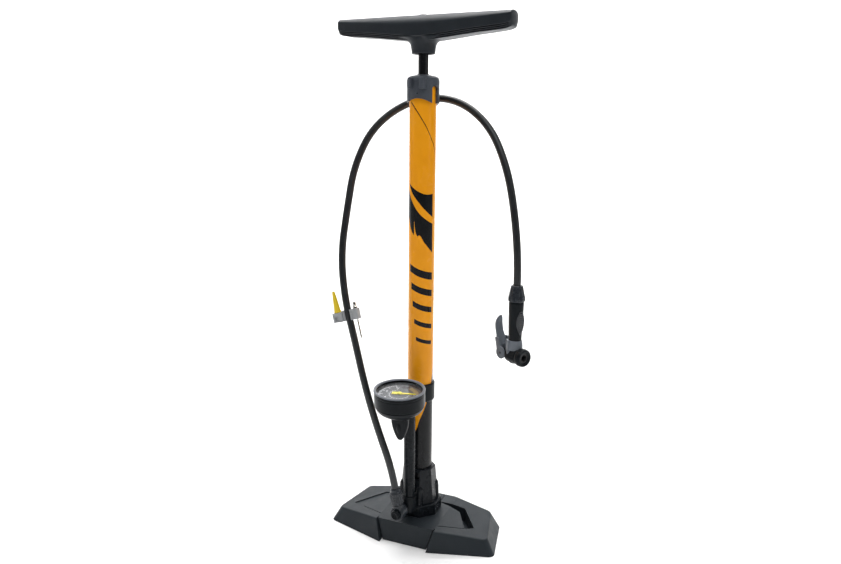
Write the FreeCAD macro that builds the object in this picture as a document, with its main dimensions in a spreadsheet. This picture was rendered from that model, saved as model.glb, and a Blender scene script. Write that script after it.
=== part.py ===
# Floor bike pump: foot base, orange barrel with gauge, T-handle, hose and pump head.
# Millimetres, +Z up, origin on the floor at the barrel axis, +X along the base,
# -Y towards the gauge.  Every driving size sits in the Dims sheet.
import FreeCAD, Part
import Sketcher
import math
import os
import re
from FreeCAD import Placement, Rotation, Vector

doc = FreeCAD.newDocument("FloorPump")
sheet = doc.addObject("Spreadsheet::Sheet", "Dims")
SUBPARTS = []


class Size(object):
    """A number together with the sheet expression that gives it."""

    def __init__(self, value, expr):
        self.v = float(value)
        self.e = expr

    def _mix(self, other, sign, swap=False):
        o = other if isinstance(other, Size) else Size(other, repr(float(other)))
        a, b = (o, self) if swap else (self, o)
        v = {"+": lambda: a.v + b.v, "-": lambda: a.v - b.v,
             "*": lambda: a.v * b.v, "/": lambda: a.v / b.v}[sign]()
        return Size(v, "(%s) %s (%s)" % (a.e, sign, b.e))

    def __add__(self, o): return self._mix(o, "+")
    def __radd__(self, o): return self._mix(o, "+", True)
    def __sub__(self, o): return self._mix(o, "-")
    def __rsub__(self, o): return self._mix(o, "-", True)
    def __mul__(self, o): return self._mix(o, "*")
    def __rmul__(self, o): return self._mix(o, "*", True)
    def __truediv__(self, o): return self._mix(o, "/")
    def __neg__(self): return Size(-self.v, "-(%s)" % self.e)


class Dims(object):
    pass


D = Dims()
DRIVING = [
    # base
    ("baseHalf", 113.5), ("baseEndHigh", 18.7), ("baseMidHigh", 27.0), ("seamHalf", 39.0),
    ("baseFront", 57.0), ("baseCorner", 33.5), ("baseBack", 48.0), ("footRad", 7.0),
    # socket and barrel
    ("plinthRad", 29.2), ("plinthTop", 42.0), ("socketTop", 88.0), ("socketRad", 19.6),
    ("barrelRad", 16.0), ("barrelBore", 14.5), ("barrelLow", 56.0), ("barrelTop", 564.0),
    # cap
    ("capRad", 19.2), ("capLow", 545.0), ("capTop", 577.0),
    # rod, piston, handle
    ("rodRad", 6.0), ("rodLow", 96.0), ("rodTop", 630.0), ("pistonLow", 96.0),
    ("handleHalf", 109.5), ("handleTurn", -5.0), ("handleTop", 642.5), ("neckRad", 13.7), ("neckLow", 600.0),
    # gauge
    ("gaugeY", -66.0), ("gaugeZ", 215.7), ("gaugeRad", 31.0), ("gaugeTilt", 3.0),
    # air side
    ("tubeY", -34.0), ("tubeRad", 7.2), ("stubZ", 46.0), ("ringLow", 180.0), ("ringHigh", 203.0),
    # hose and head
    ("hoseRad", 4.5), ("headX", 121.8), ("headY", -4.0), ("headTurn", -32.0),
    ("nozzleZ", 255.0), ("headTop", 321.0), ("collarTop", 340.0),
]
for row, (name, value) in enumerate(DRIVING, 1):
    sheet.set("A%d" % row, name)
    sheet.set("B%d" % row, repr(float(value)))
    sheet.setAlias("B%d" % row, name)
    setattr(D, name, Size(value, "Dims." + name))
doc.recompute()


# ---------------------------------------------------------------- helpers
def q(v):
    return v if isinstance(v, Size) else Size(v, repr(float(v)))


def uid(prefix):
    uid.n += 1
    return "%s%03d" % (prefix, uid.n)


uid.n = 0


def driven(v):
    return isinstance(v, Size) and "Dims." in v.e


def place(obj, at=(0, 0, 0), rot=None):
    obj.Placement = Placement(Vector(*[q(c).v for c in at]), rot or Rotation())
    for axis, c in zip("xyz", at):
        if driven(c):
            obj.setExpression(".Placement.Base." + axis, c.e)
    return obj


def pin_point(sk, geo, pos, x, y):
    for value, kind, axis in ((q(x), "DistanceX", -2), (q(y), "DistanceY", -1)):
        if abs(value.v) < 1e-9:
            sk.addConstraint(Sketcher.Constraint("PointOnObject", geo, pos, axis))
        elif value.v > 0:
            i = sk.addConstraint(Sketcher.Constraint(kind, -1, 1, geo, pos, value.v))
            if driven(value):
                sk.setExpression("Constraints[%d]" % i, value.e)
        else:
            i = sk.addConstraint(Sketcher.Constraint(kind, geo, pos, -1, 1, -value.v))
            if driven(value):
                sk.setExpression("Constraints[%d]" % i, "-(%s)" % value.e)


def polygon(sk, pts):
    n = len(pts)
    raw = [Vector(q(a).v, q(b).v, 0) for a, b in pts]
    first = sk.GeometryCount
    for i in range(n):
        sk.addGeometry(Part.LineSegment(raw[i], raw[(i + 1) % n]), False)
    for i in range(n):
        sk.addConstraint(Sketcher.Constraint("Coincident", first + i, 2, first + (i + 1) % n, 1))
    for i, (a, b) in enumerate(pts):
        pin_point(sk, first + i, 1, a, b)


def circle(sk, x, y, r):
    g = sk.addGeometry(Part.Circle(Vector(q(x).v, q(y).v, 0), Vector(0, 0, 1), q(r).v), False)
    pin_point(sk, g, 3, x, y)
    i = sk.addConstraint(Sketcher.Constraint("Radius", g, q(r).v))
    if driven(r):
        sk.setExpression("Constraints[%d]" % i, r.e)


def body(name=None):
    b = doc.addObject("PartDesign::Body", uid("Body"))
    return b


def sketch(b, role, off=0):
    sk = b.newObject("Sketcher::SketchObject", uid("Sketch"))
    plane = [f for f in b.Origin.OriginFeatures if f.Role == role][0]
    sk.AttachmentSupport = [(plane, "")]
    sk.MapMode = "FlatFace"
    if driven(off) or q(off).v:
        sk.AttachmentOffset = Placement(Vector(0, 0, q(off).v), Rotation())
        if driven(off):
            sk.setExpression(".AttachmentOffset.Base.z", off.e)
    return sk


def revolve(pts, at=(0, 0, 0), rot=None):
    """A body turned about its own Z axis from a closed (radius, height) outline."""
    b = body()
    sk = sketch(b, "XZ_Plane")
    polygon(sk, pts)
    r = b.newObject("PartDesign::Revolution", uid("Turn"))
    r.Profile = sk
    r.ReferenceAxis = (sk, ["V_Axis"])
    r.Angle = 360.0
    return place(b, at, rot)


def pad(draw, length, role="XY_Plane", off=0, at=(0, 0, 0), rot=None, mid=False, round_r=0, pick=None):
    b = body()
    sk = sketch(b, role, off)
    draw(sk)
    p = b.newObject("PartDesign::Pad", uid("Pad"))
    p.Profile = sk
    p.Length = q(length).v
    if driven(length):
        p.setExpression("Length", length.e)
    if mid:
        p.SideType = "Symmetric"
    if round_r:
        doc.recompute()
        names = ["Edge%d" % (i + 1) for i, e in enumerate(p.Shape.Edges) if pick is None or pick(e)]
        f = b.newObject("PartDesign::Fillet", uid("Round"))
        f.Base = (p, names)
        f.Radius = round_r
        b.Tip = f
    return place(b, at, rot)


def poly(pts):
    return lambda sk: polygon(sk, pts)


def cyl(r, high, at=(0, 0, 0), rot=None):
    c = doc.addObject("Part::Cylinder", uid("Cyl"))
    for prop, v in (("Radius", r), ("Height", high)):
        setattr(c, prop, q(v).v)
        if driven(v):
            c.setExpression(prop, v.e)
    return place(c, at, rot)


def box(lo, hi, at=(0, 0, 0), rot=None):
    """A box between two corners, then moved by at and rot."""
    b = doc.addObject("Part::Box", uid("Box"))
    for prop, a, c in zip(("Length", "Width", "Height"), lo, hi):
        v = q(c) - q(a)
        setattr(b, prop, v.v)
        if driven(v):
            b.setExpression(prop, v.e)
    r = rot or Rotation()
    shift = r.multVec(Vector(*[q(a).v for a in lo]))
    b.Placement = Placement(Vector(*[q(c).v for c in at]) + shift, r)
    return b


def fuse(*objs):
    f = doc.addObject("Part::MultiFuse", uid("Fuse"))
    f.Shapes = list(objs)
    return f


def cut(a, *tools):
    c = doc.addObject("Part::Cut", uid("Cut"))
    c.Base = a
    c.Tool = tools[0] if len(tools) == 1 else fuse(*tools)
    return c


def common(a, b):
    c = doc.addObject("Part::Common", uid("Common"))
    c.Base = a
    c.Tool = b
    return c


def raw(shape):
    f = doc.addObject("Part::Feature", uid("Shape"))
    f.Shape = shape
    return f


def done(obj, label):
    obj.Label = label
    SUBPARTS.append(obj)
    return obj


def facing(az):
    """Turns local +X to the direction az degrees from -Y towards +X."""
    return Rotation(Vector(0, 0, 1), az - 90.0)


def face_of(pts, z):
    p = [Vector(x, y, z) for x, y in pts]
    return Part.makePolygon(p + [p[0]])


def taper(low, z0, high, z1):
    return Part.makeLoft([face_of(low, z0), face_of(high, z1)], True, True)


X, Y, Z = Vector(1, 0, 0), Vector(0, 1, 0), Vector(0, 0, 1)
TO_X = Rotation(Y, 90.0)        # local Z to +X
TO_FRONT = Rotation(X, 90.0)    # local Z to -Y

# ---------------------------------------------------------------- foot base
hb, ze, zm, sh = D.baseHalf.v, D.baseEndHigh.v, D.baseMidHigh.v, D.seamHalf.v
bf, bc, bb = D.baseFront.v, D.baseCorner.v, D.baseBack.v
low_half = [(31, -bf), (hb, -bc), (hb - 13, 39.5), (34, bb)]
high_half = [(31, -bf + 5.3), (hb - 17.9, -bc + 7.4), (hb - 31.9, 33.6), (34, bb - 5)]


def both(half):
    return half + [(-x, y) for x, y in reversed(half)]


envelope = taper(both(low_half), 0, both(high_half), 32)
slope = (zm - ze) / (hb - 10.8 - sh)
roof_pts = [(-150, -5), (150, -5), (150, zm - slope * (150 - sh)), (sh, zm), (-sh, zm),
            (-150, zm - slope * (150 - sh))]
roof = Part.Face(Part.makePolygon([Vector(x, -100, z) for x, z in roof_pts + roof_pts[:1]])).extrude(Vector(0, 200, 0))


def upright(e):
    a, b = e.Vertexes[0].Point, e.Vertexes[-1].Point
    return abs(a.z - b.z) > 12 and abs(a.x) > 60


envelope = envelope.makeFillet(8.0, [e for e in envelope.Edges if upright(e)])
envelope = envelope.common(roof)


def rim(e):
    b = e.BoundBox
    c = b.Center
    return b.ZMin > 12 and not (b.YLength > 60 and abs(c.x) < 60)


try:
    rounded = envelope.makeFillet(2.2, [e for e in envelope.Edges if rim(e)])
    if rounded.isValid() and rounded.Volume < envelope.Volume:
        envelope = rounded
    else:
        print("base rim left sharp")
except Exception as err:
    print("base rim left sharp:", err)

plate_high = [(sh + 0.3, -36), (71, -22), (53.5, 10), (22, 20.5), (22, 70)]
plate_low = [(31.3, -38), (71, -22), (53.5, 10), (22, 20.5), (22, 70)]
front_low, front_high = (31.3, -50.5), (sh + 0.3, -46.5)


def lean(a, b, k):
    return tuple(p + (r - p) * k for p, r in zip(a, b))


k32 = 32.0 / zm
plate_tool = taper(both([front_low] + plate_low), 0,
                   both([lean(front_low, front_high, k32), lean(plate_low[0], plate_high[0], k32)] + plate_high[1:]), 32)
ends_tool = taper(both([(31.3, -80)] + plate_low), -1,
                  both([(lean(front_low, front_high, k32)[0], -80), lean(plate_low[0], plate_high[0], k32)] + plate_high[1:]), 32)
slot_pts = [(71, -22), (53.5, 10), (22, 20.5), (22, 22.3), (57, 21.5), (81, -14)]


def prism(pts, z0, z1):
    return Part.Face(face_of(pts, z0)).extrude(Vector(0, 0, z1 - z0))


low_roof = roof.translated(Vector(0, 0, -1.3))
slots = [prism(slot_pts, 6, 40), prism([(-x, y) for x, y in slot_pts[:-1]] + [(-88, -14.5)], 6, 40).cut(low_roof)]
# fine grooves where the ends meet the plate
groove_roof = roof.translated(Vector(0, 0, -1.6))
seam_pts = [[(sh + 0.3, -36), (71, -22), (70.6, -21.1), (sh - 0.4, -35.0)], [(22, 20.5), (22, 70), (21.1, 70), (21.1, 20.5)]]
grooves = [prism([(m * x, y) for x, y in q], 12, 40).cut(groove_roof) for q in seam_pts for m in (1, -1)]
for m in (1, -1):
    low_g = [(31.3, -60), (31.3, -47.2), (29.7, -47.2), (29.7, -60)]
    high_g = [lean(p, (p[0] + 8.0, p[1] + 4.0), k32) for p in low_g]
    grooves.append(taper([(m * x, y) for x, y in low_g], 0, [(m * x, y) for x, y in high_g], 32))
pads_at = [(90, -18), (82, 26)]
pads_at = [(s * x, y) for x, y in pads_at for s in (1, -1)]
foot_holes = [Part.makeCylinder(D.footRad.v + 0.2, 2.0, Vector(x, y, 0)) for x, y in pads_at]

plate = envelope.common(plate_tool)
for g in grooves:
    plate = plate.cut(g)
# raised edge line along the front of the centre plate and lightening hollows beneath
screw_at = [(17, 17), (17, -17), (-17, 17), (-17, -17)]
for x, y in screw_at:
    plate = plate.cut(Part.makeCylinder(2.05, 40, Vector(x, y, -1)))
    plate = plate.cut(Part.makeCylinder(4.6, 6.0, Vector(x, y, 0)))
done(raw(plate), "base_plate")
ends = envelope.cut(ends_tool)
for s in slots + foot_holes:
    ends = ends.cut(s)
for s in ends.Solids:
    side = "right" if s.CenterOfMass.x > 0 else "left"
    if s.Volume > 5000:
        done(raw(s), "base_end_" + side)
done(fuse(*[revolve([(0, 0), (D.footRad - 0.6, 0), (D.footRad, 0.6), (D.footRad, 2.0), (0, 2.0)], (x, y, 0))
            for x, y in pads_at]), "foot_pads")
done(fuse(*[revolve([(0, 3.4), (4.2, 3.4), (4.2, 6.0), (2.0, 6.0), (2.0, 36.0), (0, 36.0)], (x, y, 0))
            for x, y in screw_at]), "base_screws")

# ---------------------------------------------------------------- barrel socket
oct_pts = [(D.plinthRad * math.cos(math.radians(22.5 + 45 * i)), D.plinthRad * math.sin(math.radians(22.5 + 45 * i)))
           for i in range(8)]
plinth = pad(poly(oct_pts), D.plinthTop - D.baseMidHigh, at=(0, 0, D.baseMidHigh), round_r=1.4,
             pick=lambda e: e.BoundBox.ZMin > 2)


def octagon(rad):
    return [(rad * math.cos(math.radians(22.5 + 45 * i)), rad * math.sin(math.radians(22.5 + 45 * i)))
            for i in range(8)]


sr, st, pt = D.socketRad.v, D.socketTop.v, D.plinthTop.v
cone = fuse(raw(taper(octagon(25.0), pt - 1, octagon(sr + 1.9), st - 9)),
            raw(taper(octagon(sr + 1.9), st - 9.01, octagon(sr + 1.1), st - 1)),
            raw(taper(octagon(sr + 1.1), st - 1.01, octagon(sr + 0.1), st)))
ribs = []
for az in (22.5, 112.5, 202.5, 292.5):
    ribs.append(revolve([(0, D.plinthTop - 1), (5.4, D.plinthTop - 1), (4.9, 58), (4.3, 63), (2.6, 66.2), (0, 67.4)],
                        (20.6 * math.sin(math.radians(az)), -20.6 * math.cos(math.radians(az)), 0)))
hollow = revolve([(0, 34), (12.0, 34), (12.0, D.barrelLow), (D.barrelRad + 0.03, D.barrelLow),
                  (D.barrelRad + 0.03, 100), (0, 100)])
stub_way = cyl(5.03, 40, (0, 0, D.stubZ), facing(-6) * TO_X)
screw_bores = [cyl(2.0, 14, (x, y, 25)) for x, y in screw_at]
notch = box((15.0, -6.4, 74.5), (26.0, 6.4, 84.6), rot=facing(5))
done(cut(fuse(plinth, cone, *ribs), hollow, stub_way, notch, *screw_bores), "barrel_socket")

# ---------------------------------------------------------------- barrel and foot valve
done(revolve([(D.barrelBore, D.barrelLow), (D.barrelRad, D.barrelLow), (D.barrelRad, D.barrelTop - 0.6),
              (D.barrelRad - 0.6, D.barrelTop), (D.barrelBore, D.barrelTop)]), "barrel_tube")
done(revolve([(3.0, 50.0), (11.9, 50.0), (11.9, 56.0), (14.4, 56.0), (14.4, 58.2), (12.4, 58.2), (12.4, 61.2),
              (14.4, 61.2), (14.4, 66.0), (3.0, 66.0)]), "barrel_end_plug")
done(revolve([(12.45, 58.35), (14.48, 58.35), (14.48, 61.05), (12.45, 61.05)]), "plug_seal")
done(revolve([(0, 46.7), (2.0, 46.7), (2.0, 47.2), (6.0, 47.2), (6.0, 49.7), (2.5, 49.7), (2.5, 53.0), (0, 53.0)]),
     "check_valve_poppet")
done(revolve([(3.2, 34.0), (4.4, 34.0), (4.4, 45.2), (3.2, 45.2)]), "check_valve_spring")

# ---------------------------------------------------------------- manifold, tube, swivel
stub = revolve([(3.2, 12.6), (5.0, 12.6), (5.0, 26.6), (8.2, 26.6), (8.2, 30.6), (7.0, 31.4), (7.0, 45.0),
                (4.0, 45.0), (4.0, 62.6), (3.2, 62.6)], (0, 0, D.stubZ), facing(-6) * TO_X)
boss = cut(revolve([(0, D.stubZ - 6), (8.0, D.stubZ - 6), (9.2, D.stubZ), (9.2, 60), (8.4, 60.8), (0, 60.8)],
                   (0, D.tubeY, 0)),
           cyl(D.tubeRad + 0.03, 20, (0, D.tubeY, 54)), cyl(4.0, 20, (0, D.tubeY, D.stubZ)),
           cyl(3.2, 60, (0, 0, D.stubZ), facing(-6) * TO_X),
           cyl(23.9, 30, (0, 0, 40)))
done(cut(fuse(cut(stub, cyl(4.0, 12, (0, D.tubeY, D.stubZ))), boss), box((-14, -27.4, 36.0), (14, -16.0, 42.3))),
     "air_manifold")
done(revolve([(4.6, 54.0), (D.tubeRad, 54.0), (D.tubeRad, 182.0), (4.6, 182.0)], (0, D.tubeY, 0)), "air_tube")

knuckle_r = 53.0
az6 = math.radians(-6)
kx, ky, kz = knuckle_r * math.sin(az6), -knuckle_r * math.cos(az6), D.stubZ.v
knuckle = revolve([(4.05, 45.3), (7.4, 45.3), (8.6, 46.3), (9.0, 48.5), (9.0, 59.0), (8.2, 60.4), (4.05, 60.4)],
                  (0, 0, D.stubZ), facing(-6) * TO_X)
# the hose leaves the knuckle upwards, leaning to the left
up_dir = Vector(-0.152, -0.060, 0.986)
up_dir.normalize()
lean_rot = Rotation(Z, up_dir)
neck = revolve([(0, 0), (6.6, 0), (6.6, 11.5), (4.4, 11.5), (4.4, 14.5), (0, 14.5)], (kx, ky, kz), lean_rot)
done(cut(fuse(knuckle, neck),
         fuse(cyl(4.05, 20, tuple(Vector(kx, ky, kz) + Vector(math.sin(az6), -math.cos(az6), 0) * -9),
                  facing(-6) * TO_X), cyl(2.2, 20, (kx, ky, kz), lean_rot))), "swivel_elbow")
done(revolve([(0, 52.0), (3.15, 52.0), (3.15, 62.7), (6.0, 62.7), (6.0, 64.2), (5.2, 65.2), (2.2, 65.2), (2.2, 63.9),
              (0, 63.9)], (0, 0, D.stubZ), facing(-6) * TO_X), "elbow_bolt")
done(revolve([(4.45, 11.6), (7.3, 11.6), (7.7, 13.0), (7.7, 27.6), (7.0, 28.6), (5.9, 32.0), (5.4, 33.0), (0, 33.0),
              (0, 15.0), (4.45, 15.0)], (kx, ky, kz), lean_rot), "hose_nut")
hose_start = Vector(kx, ky, kz) + up_dir * 33.0

# ---------------------------------------------------------------- hose
route = [(hose_start.x, hose_start.y, hose_start.z)]
p1 = hose_start + up_dir * 27.5
route.append((p1.x, p1.y, p1.z))
route += [(-35.0, -55.4, 156.9), (-51.8, -54.2, 208.6), (-66.6, -49.8, 260.9), (-81.6, -46.1, 313.1),
          (-89.3, -36.8, 366.4), (-86.8, -27.4, 419.9), (-85.4, -10.0, 472.1), (-65.7, 5.8, 520.5),
          (-24.8, 30.6, 551.6), (31.3, 28.4, 552.1), (76.8, 16.7, 521.9), (102.2, 6.2, 474.0),
          (114.6, 1.5, 421.2), (D.headX.v, D.headY.v, 367.2), (D.headX.v, D.headY.v, D.collarTop.v)]
print("hose route", [tuple(round(c, 2) for c in p) for p in route])
pts = [Vector(*p) for p in route]
edges, here, length = [], pts[0], 0.0
for i in range(1, len(pts) - 1):
    a, b = pts[i] - pts[i - 1], pts[i + 1] - pts[i]
    turn = a.getAngle(b)
    short = min(a.Length, b.Length)
    rad = 0.45 * short / math.tan(turn / 2)
    back = 0.45 * short
    ua, ub = Vector(a).normalize(), Vector(b).normalize()
    t0, t1 = pts[i] - ua * back, pts[i] + ub * back
    inward = (ub - ua).normalize()
    centre = pts[i] + inward * (rad / math.cos(turn / 2))
    top = centre - inward * rad
    edges.append(Part.LineSegment(here, t0).toShape())
    edges.append(Part.Arc(t0, top, t1).toShape())
    length += (t0 - here).Length + rad * turn
    here = t1
    print("hose bend %d turn %.1f radius %.1f" % (i, math.degrees(turn), rad))
edges.append(Part.LineSegment(here, pts[-1]).toShape())
length += (pts[-1] - here).Length
spine = Part.Wire(edges)
ring = Part.Wire([Part.Circle(pts[0], pts[1] - pts[0], D.hoseRad.v).toShape()])
hose = spine.makePipeShell([ring], True, True)
area = math.pi * D.hoseRad.v ** 2
print("hose length %.1f volume %.0f section x length %.0f" % (length, hose.Volume, area * length))
done(raw(hose), "hose")

# ---------------------------------------------------------------- gauge
tilt = Rotation(X, D.gaugeTilt.v)
G = (0, D.gaugeY, D.gaugeZ)


def g_turn(pts):
    return revolve(pts, G, tilt)


case = g_turn([(0, -35.0), (9, -35.0), (15, -33.8), (21, -31.2), (26.5, -27.2), (29.6, -24.0), (30.5, -22.6),
               (30.5, -5.3), (28.6, -5.3), (28.6, -16.5), (24.0, -19.6), (0, -19.6)])
tongue_side = [(-11.5, -27.0), (11.5, -27.0), (11.0, -44.0), (9.2, -52.0), (6.4, -60.0), (3.4, -65.2), (0, -67.2),
               (-3.4, -65.2), (-6.4, -60.0), (-9.2, -52.0), (-11.0, -44.0)]
tongue = pad(poly(tongue_side), 9.0, "XZ_Plane", mid=True, at=G, rot=tilt, round_r=2.4,
             pick=lambda e: e.BoundBox.YLength < 0.01 and e.BoundBox.ZMax < -26.9 and not
             (abs(e.BoundBox.ZMax + 27) < 0.01 and e.BoundBox.ZLength < 0.01))
gauge_port = cyl(3.0, 30, (0, D.gaugeY + 26, 191.5), TO_FRONT)
done(cut(fuse(case, tongue), cyl(3.0, 20, (0, -36, 196.5), TO_FRONT)), "gauge_case")
done(g_turn([(28.7, -5.2), (30.6, -5.2), (D.gaugeRad, -4.4), (D.gaugeRad, -0.8), (30.2, 0.0), (28.4, 0.0),
             (26.4, -1.6), (26.4, -3.0), (28.7, -3.0)]), "gauge_bezel")
done(g_turn([(1.4, -8.4), (28.4, -8.4), (28.4, -7.6), (1.4, -7.6)]), "gauge_dial")
done(g_turn([(0, -4.6), (28.4, -4.6), (28.4, -3.2), (0, -3.2)]), "gauge_lens")
done(cut(fuse(box((-9, -6, -19.5), (9, 6, -12.0), G, tilt), box((-14, -3, -19.5), (14, 3, -16.0), G, tilt)),
         g_turn([(0, -18.0), (0.86, -18.0), (0.86, -10), (0, -10)])), "gauge_movement")
point_rot = tilt * Rotation(Z, 12.0)
hand = pad(poly([(-7.0, -1.7), (2.0, -1.5), (19.0, -0.35), (19.6, 0), (19.0, 0.35), (2.0, 1.5), (-7.0, 1.7)]), 0.6,
           off=-6.9, at=G, rot=point_rot)
done(fuse(hand, g_turn([(0, -17.5), (0.8, -17.5), (0.8, -7.0), (2.6, -7.0), (2.6, -5.9), (2.0, -5.5), (0, -5.5)])),
     "gauge_needle")

ring_clamp = revolve([(D.barrelRad + 0.03, D.ringLow), (17.4, D.ringLow), (18.4, D.ringLow + 1.6),
                      (18.4, D.ringHigh - 1.0), (17.6, D.ringHigh), (D.barrelRad + 0.03, D.ringHigh)])
arm = box((-9.0, -41.0, 185.0), (9.0, -16.2, 200.0))
tube_boss = revolve([(0, 174.0), (8.6, 174.0), (9.4, 175.0), (9.4, 190.0), (0, 190.0)], (0, D.tubeY, 0))
case_space = revolve([(0, -38.0), (9.1, -35.1), (15.05, -33.9), (21.1, -31.3), (26.6, -27.3), (29.7, -24.1),
                      (30.52, -22.6), (30.52, 6), (0, 6)], G, tilt)
ear_l = box((-6.2, 15.5, 185.0), (-1.2, 27.0, 198.0))
ear_r = box((1.2, 15.5, 185.0), (6.2, 27.0, 198.0))
done(cut(fuse(ring_clamp, arm, tube_boss, ear_l, ear_r), cyl(D.barrelRad + 0.03, 40, (0, 0, 170)),
         case_space, cyl(D.tubeRad + 0.03, 12.5, (0, D.tubeY, 169.5)), box((-1.2, 14, 170), (1.2, 30, 210)),
         cyl(3.0, 20, (0, D.tubeY, 176)), cyl(3.0, 22, (0, -30, 191.5), TO_FRONT),
         cyl(2.05, 20, (-10, 22.0, 191.5), TO_X)), "gauge_bracket")
done(revolve([(0, -7.9), (1.9, -7.9), (1.9, 6.2), (3.6, 6.2), (3.6, 9.2), (1.6, 9.2), (1.6, 7.4), (0, 7.4)],
             (0, 22.0, 191.5), TO_X), "bracket_screw")

# ---------------------------------------------------------------- top cap
shell = revolve([(0, D.capLow), (D.capRad, D.capLow), (D.capRad, D.capTop - 6.4), (D.capRad - 0.9, D.capTop - 3.6),
                 (D.capRad - 3.0, D.capTop - 1.7), (11.0, D.capTop - 0.4), (9.2, D.capTop), (0, D.capTop)])
prongs = []
for s in (-1, 1):
    prongs.append(pad(poly([(s * 5.6, -14.0), (s * 10.6, -14.0), (s * 11.0, -21.0), (s * 9.0, -25.4), (s * 6.6, -26.6),
                            (s * 4.9, -25.6), (s * 4.9, -23.8), (s * 6.0, -22.4)]), 12.0, at=(0, 0, 561.0)))
cap_bore = revolve([(0, D.capLow - 5), (D.barrelRad + 0.03, D.capLow - 5), (D.barrelRad + 0.03, D.barrelTop),
                    (14.3, D.barrelTop), (14.3, 568.5), (9.0, 568.5), (9.0, 580), (0, 580)])
arch = cyl(26.0, 80, (0, 40, 524.5), TO_FRONT)
tools = [cap_bore, arch, cyl(1.0, 12, (0, -14.0, 556.0), TO_FRONT)]
for az in (69.0, -69.0):
    tools.append(box((14.0, -4.6, 540.0), (24.0, 4.6, 560.4), rot=facing(az)))
    tools.append(cyl(4.6, 10, tuple(facing(az).multVec(Vector(14, 0, 0)) + Vector(0, 0, 560.4)), facing(az) * TO_X))
done(cut(fuse(shell, *prongs), *tools), "top_cap")
done(revolve([(D.rodRad + 0.06, 552.0), (14.2, 552.0), (14.2, 568.4), (8.9, 568.4), (8.9, 574.6), (8.0, 575.6),
              (D.rodRad + 0.06, 575.6)]), "rod_bushing")
done(revolve([(D.rodRad + 0.5, 545.5), (14.2, 545.5), (14.2, 551.9), (D.rodRad + 0.5, 551.9)]), "bump_stop")
done(revolve([(D.rodRad + 0.08, 575.7), (8.4, 575.7), (8.4, 576.6), (7.0, 577.8), (D.rodRad + 0.08, 577.8)]),
     "rod_wiper")
done(revolve([(0, 16.2), (0.95, 16.2), (0.95, 18.6), (0, 18.6)], (0, 0, 556.0), facing(0) * TO_X), "cap_screw")
# open hook behind the cap that carries the hose
guide_c = Vector(0, 29.2, 551.8)
hook = cut(cyl(8.6, 12, (-6, guide_c.y, guide_c.z), TO_X), cyl(5.6, 20, (-10, guide_c.y, guide_c.z), TO_X),
           box((-12, -4.4, 3.0), (12, 4.4, 14.0), tuple(guide_c), Rotation(X, -28)))
web = cut(box((-4, 17.6, 547.0), (4, 22.6, 557.0)), cyl(D.capRad + 0.02, 60, (0, 0, 530)),
          cyl(5.6, 20, (-10, guide_c.y, guide_c.z), TO_X))
done(fuse(hook, web), "hose_hook")

# ---------------------------------------------------------------- piston and rod
done(revolve([(4.08, 96.0), (12.6, 96.0), (12.6, 99.6), (11.2, 99.6), (11.2, 104.4), (14.1, 104.4), (14.1, 111.6),
              (13.4, 112.4), (4.08, 112.4)]), "piston_head")
done(revolve([(11.25, 99.7), (12.7, 99.7), (14.44, 97.6), (14.44, 103.4), (13.6, 104.3), (11.25, 104.3)]),
     "piston_cup_seal")
done(revolve([(0, 89.0), (4.0, 89.0), (4.0, 112.6), (D.rodRad, 112.6), (D.rodRad, D.rodTop - 1), (5.0, D.rodTop),
              (0, D.rodTop)]), "piston_rod")
done(pad(lambda sk: (polygon(sk, [(7.6 * math.cos(math.radians(60 * i)), 7.6 * math.sin(math.radians(60 * i)))
                                  for i in range(6)]), circle(sk, 0, 0, 4.02)), 5.8, at=(0, 0, 90.0)), "piston_nut")

# ---------------------------------------------------------------- handle
hh, ht = D.handleHalf.v, D.handleTop.v


def handle_section(x, half, crown, high, shoulder):
    """Crowned top, upright sides, three shallow grooves under the grip."""
    t = ht - shoulder
    low = ht - high
    w = half * 0.80
    p = [(half * 0.30, ht), (half * 0.72, ht - crown * 0.35), (half, ht - crown), (half, low + 4.2),
         (w, low + 0.8), (w * 0.72, low), (w * 0.55, low + 1.5), (w * 0.38, low)]
    full = p + [(-a, b) for a, b in reversed(p)]
    return Part.makePolygon([Vector(x, a, b) for a, b in full + full[:1]])


sections = []
for u, half, crown, high in ((-1.0, 11.6, 3.6, 17.0), (-0.93, 12.4, 4.2, 19.6), (-0.6, 15.2, 7.0, 22.8),
                             (-0.25, 17.0, 9.2, 26.8), (0.0, 17.4, 9.8, 29.0), (0.25, 17.0, 9.2, 26.8),
                             (0.6, 15.2, 7.0, 22.8), (0.93, 12.4, 4.2, 19.6), (1.0, 11.6, 3.6, 17.0)):
    sections.append(handle_section(u * hh, half, crown, high, 0))
grip = Part.makeLoft(sections, True, False)
grip.rotate(Vector(0, 0, 0), Vector(0, 0, 1), D.handleTurn.v)
neck_flare = [(0, 634.0), (14.0, 634.0), (16.6, 616.0), (15.6, 611.0), (14.4, 606.5), (D.neckRad, 602.0),
              (D.neckRad - 0.2, D.neckLow), (0, D.neckLow)]
neck_body = revolve(neck_flare)
grip_obj = raw(grip)
handle_bore = revolve([(0, 590), (11.4, 590), (11.4, 612), (D.rodRad + 0.02, 612), (D.rodRad + 0.02, D.rodTop + 0.02),
                       (3.05, D.rodTop + 0.02), (3.05, 634.4), (6.2, 634.4), (6.2, 650), (0, 650)])
fins = []
for az in (45, 135, 225, 315):
    fins.append(box((D.rodRad + 0.4, -1.2, 602.5), (12.4, 1.2, 613), rot=facing(az)))
done(fuse(cut(fuse(grip_obj, neck_body), handle_bore), *fins), "handle")
done(revolve([(0, D.rodTop), (3.0, D.rodTop), (3.0, 634.4), (6.0, 634.4), (6.0, 637.2), (2.4, 637.2), (2.4, 635.6),
              (0, 635.6)]), "handle_bolt")
done(revolve([(0, 638.4), (6.15, 638.4), (6.15, 642.0), (5.4, 642.9), (0, 643.2)]), "handle_plug")

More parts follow.
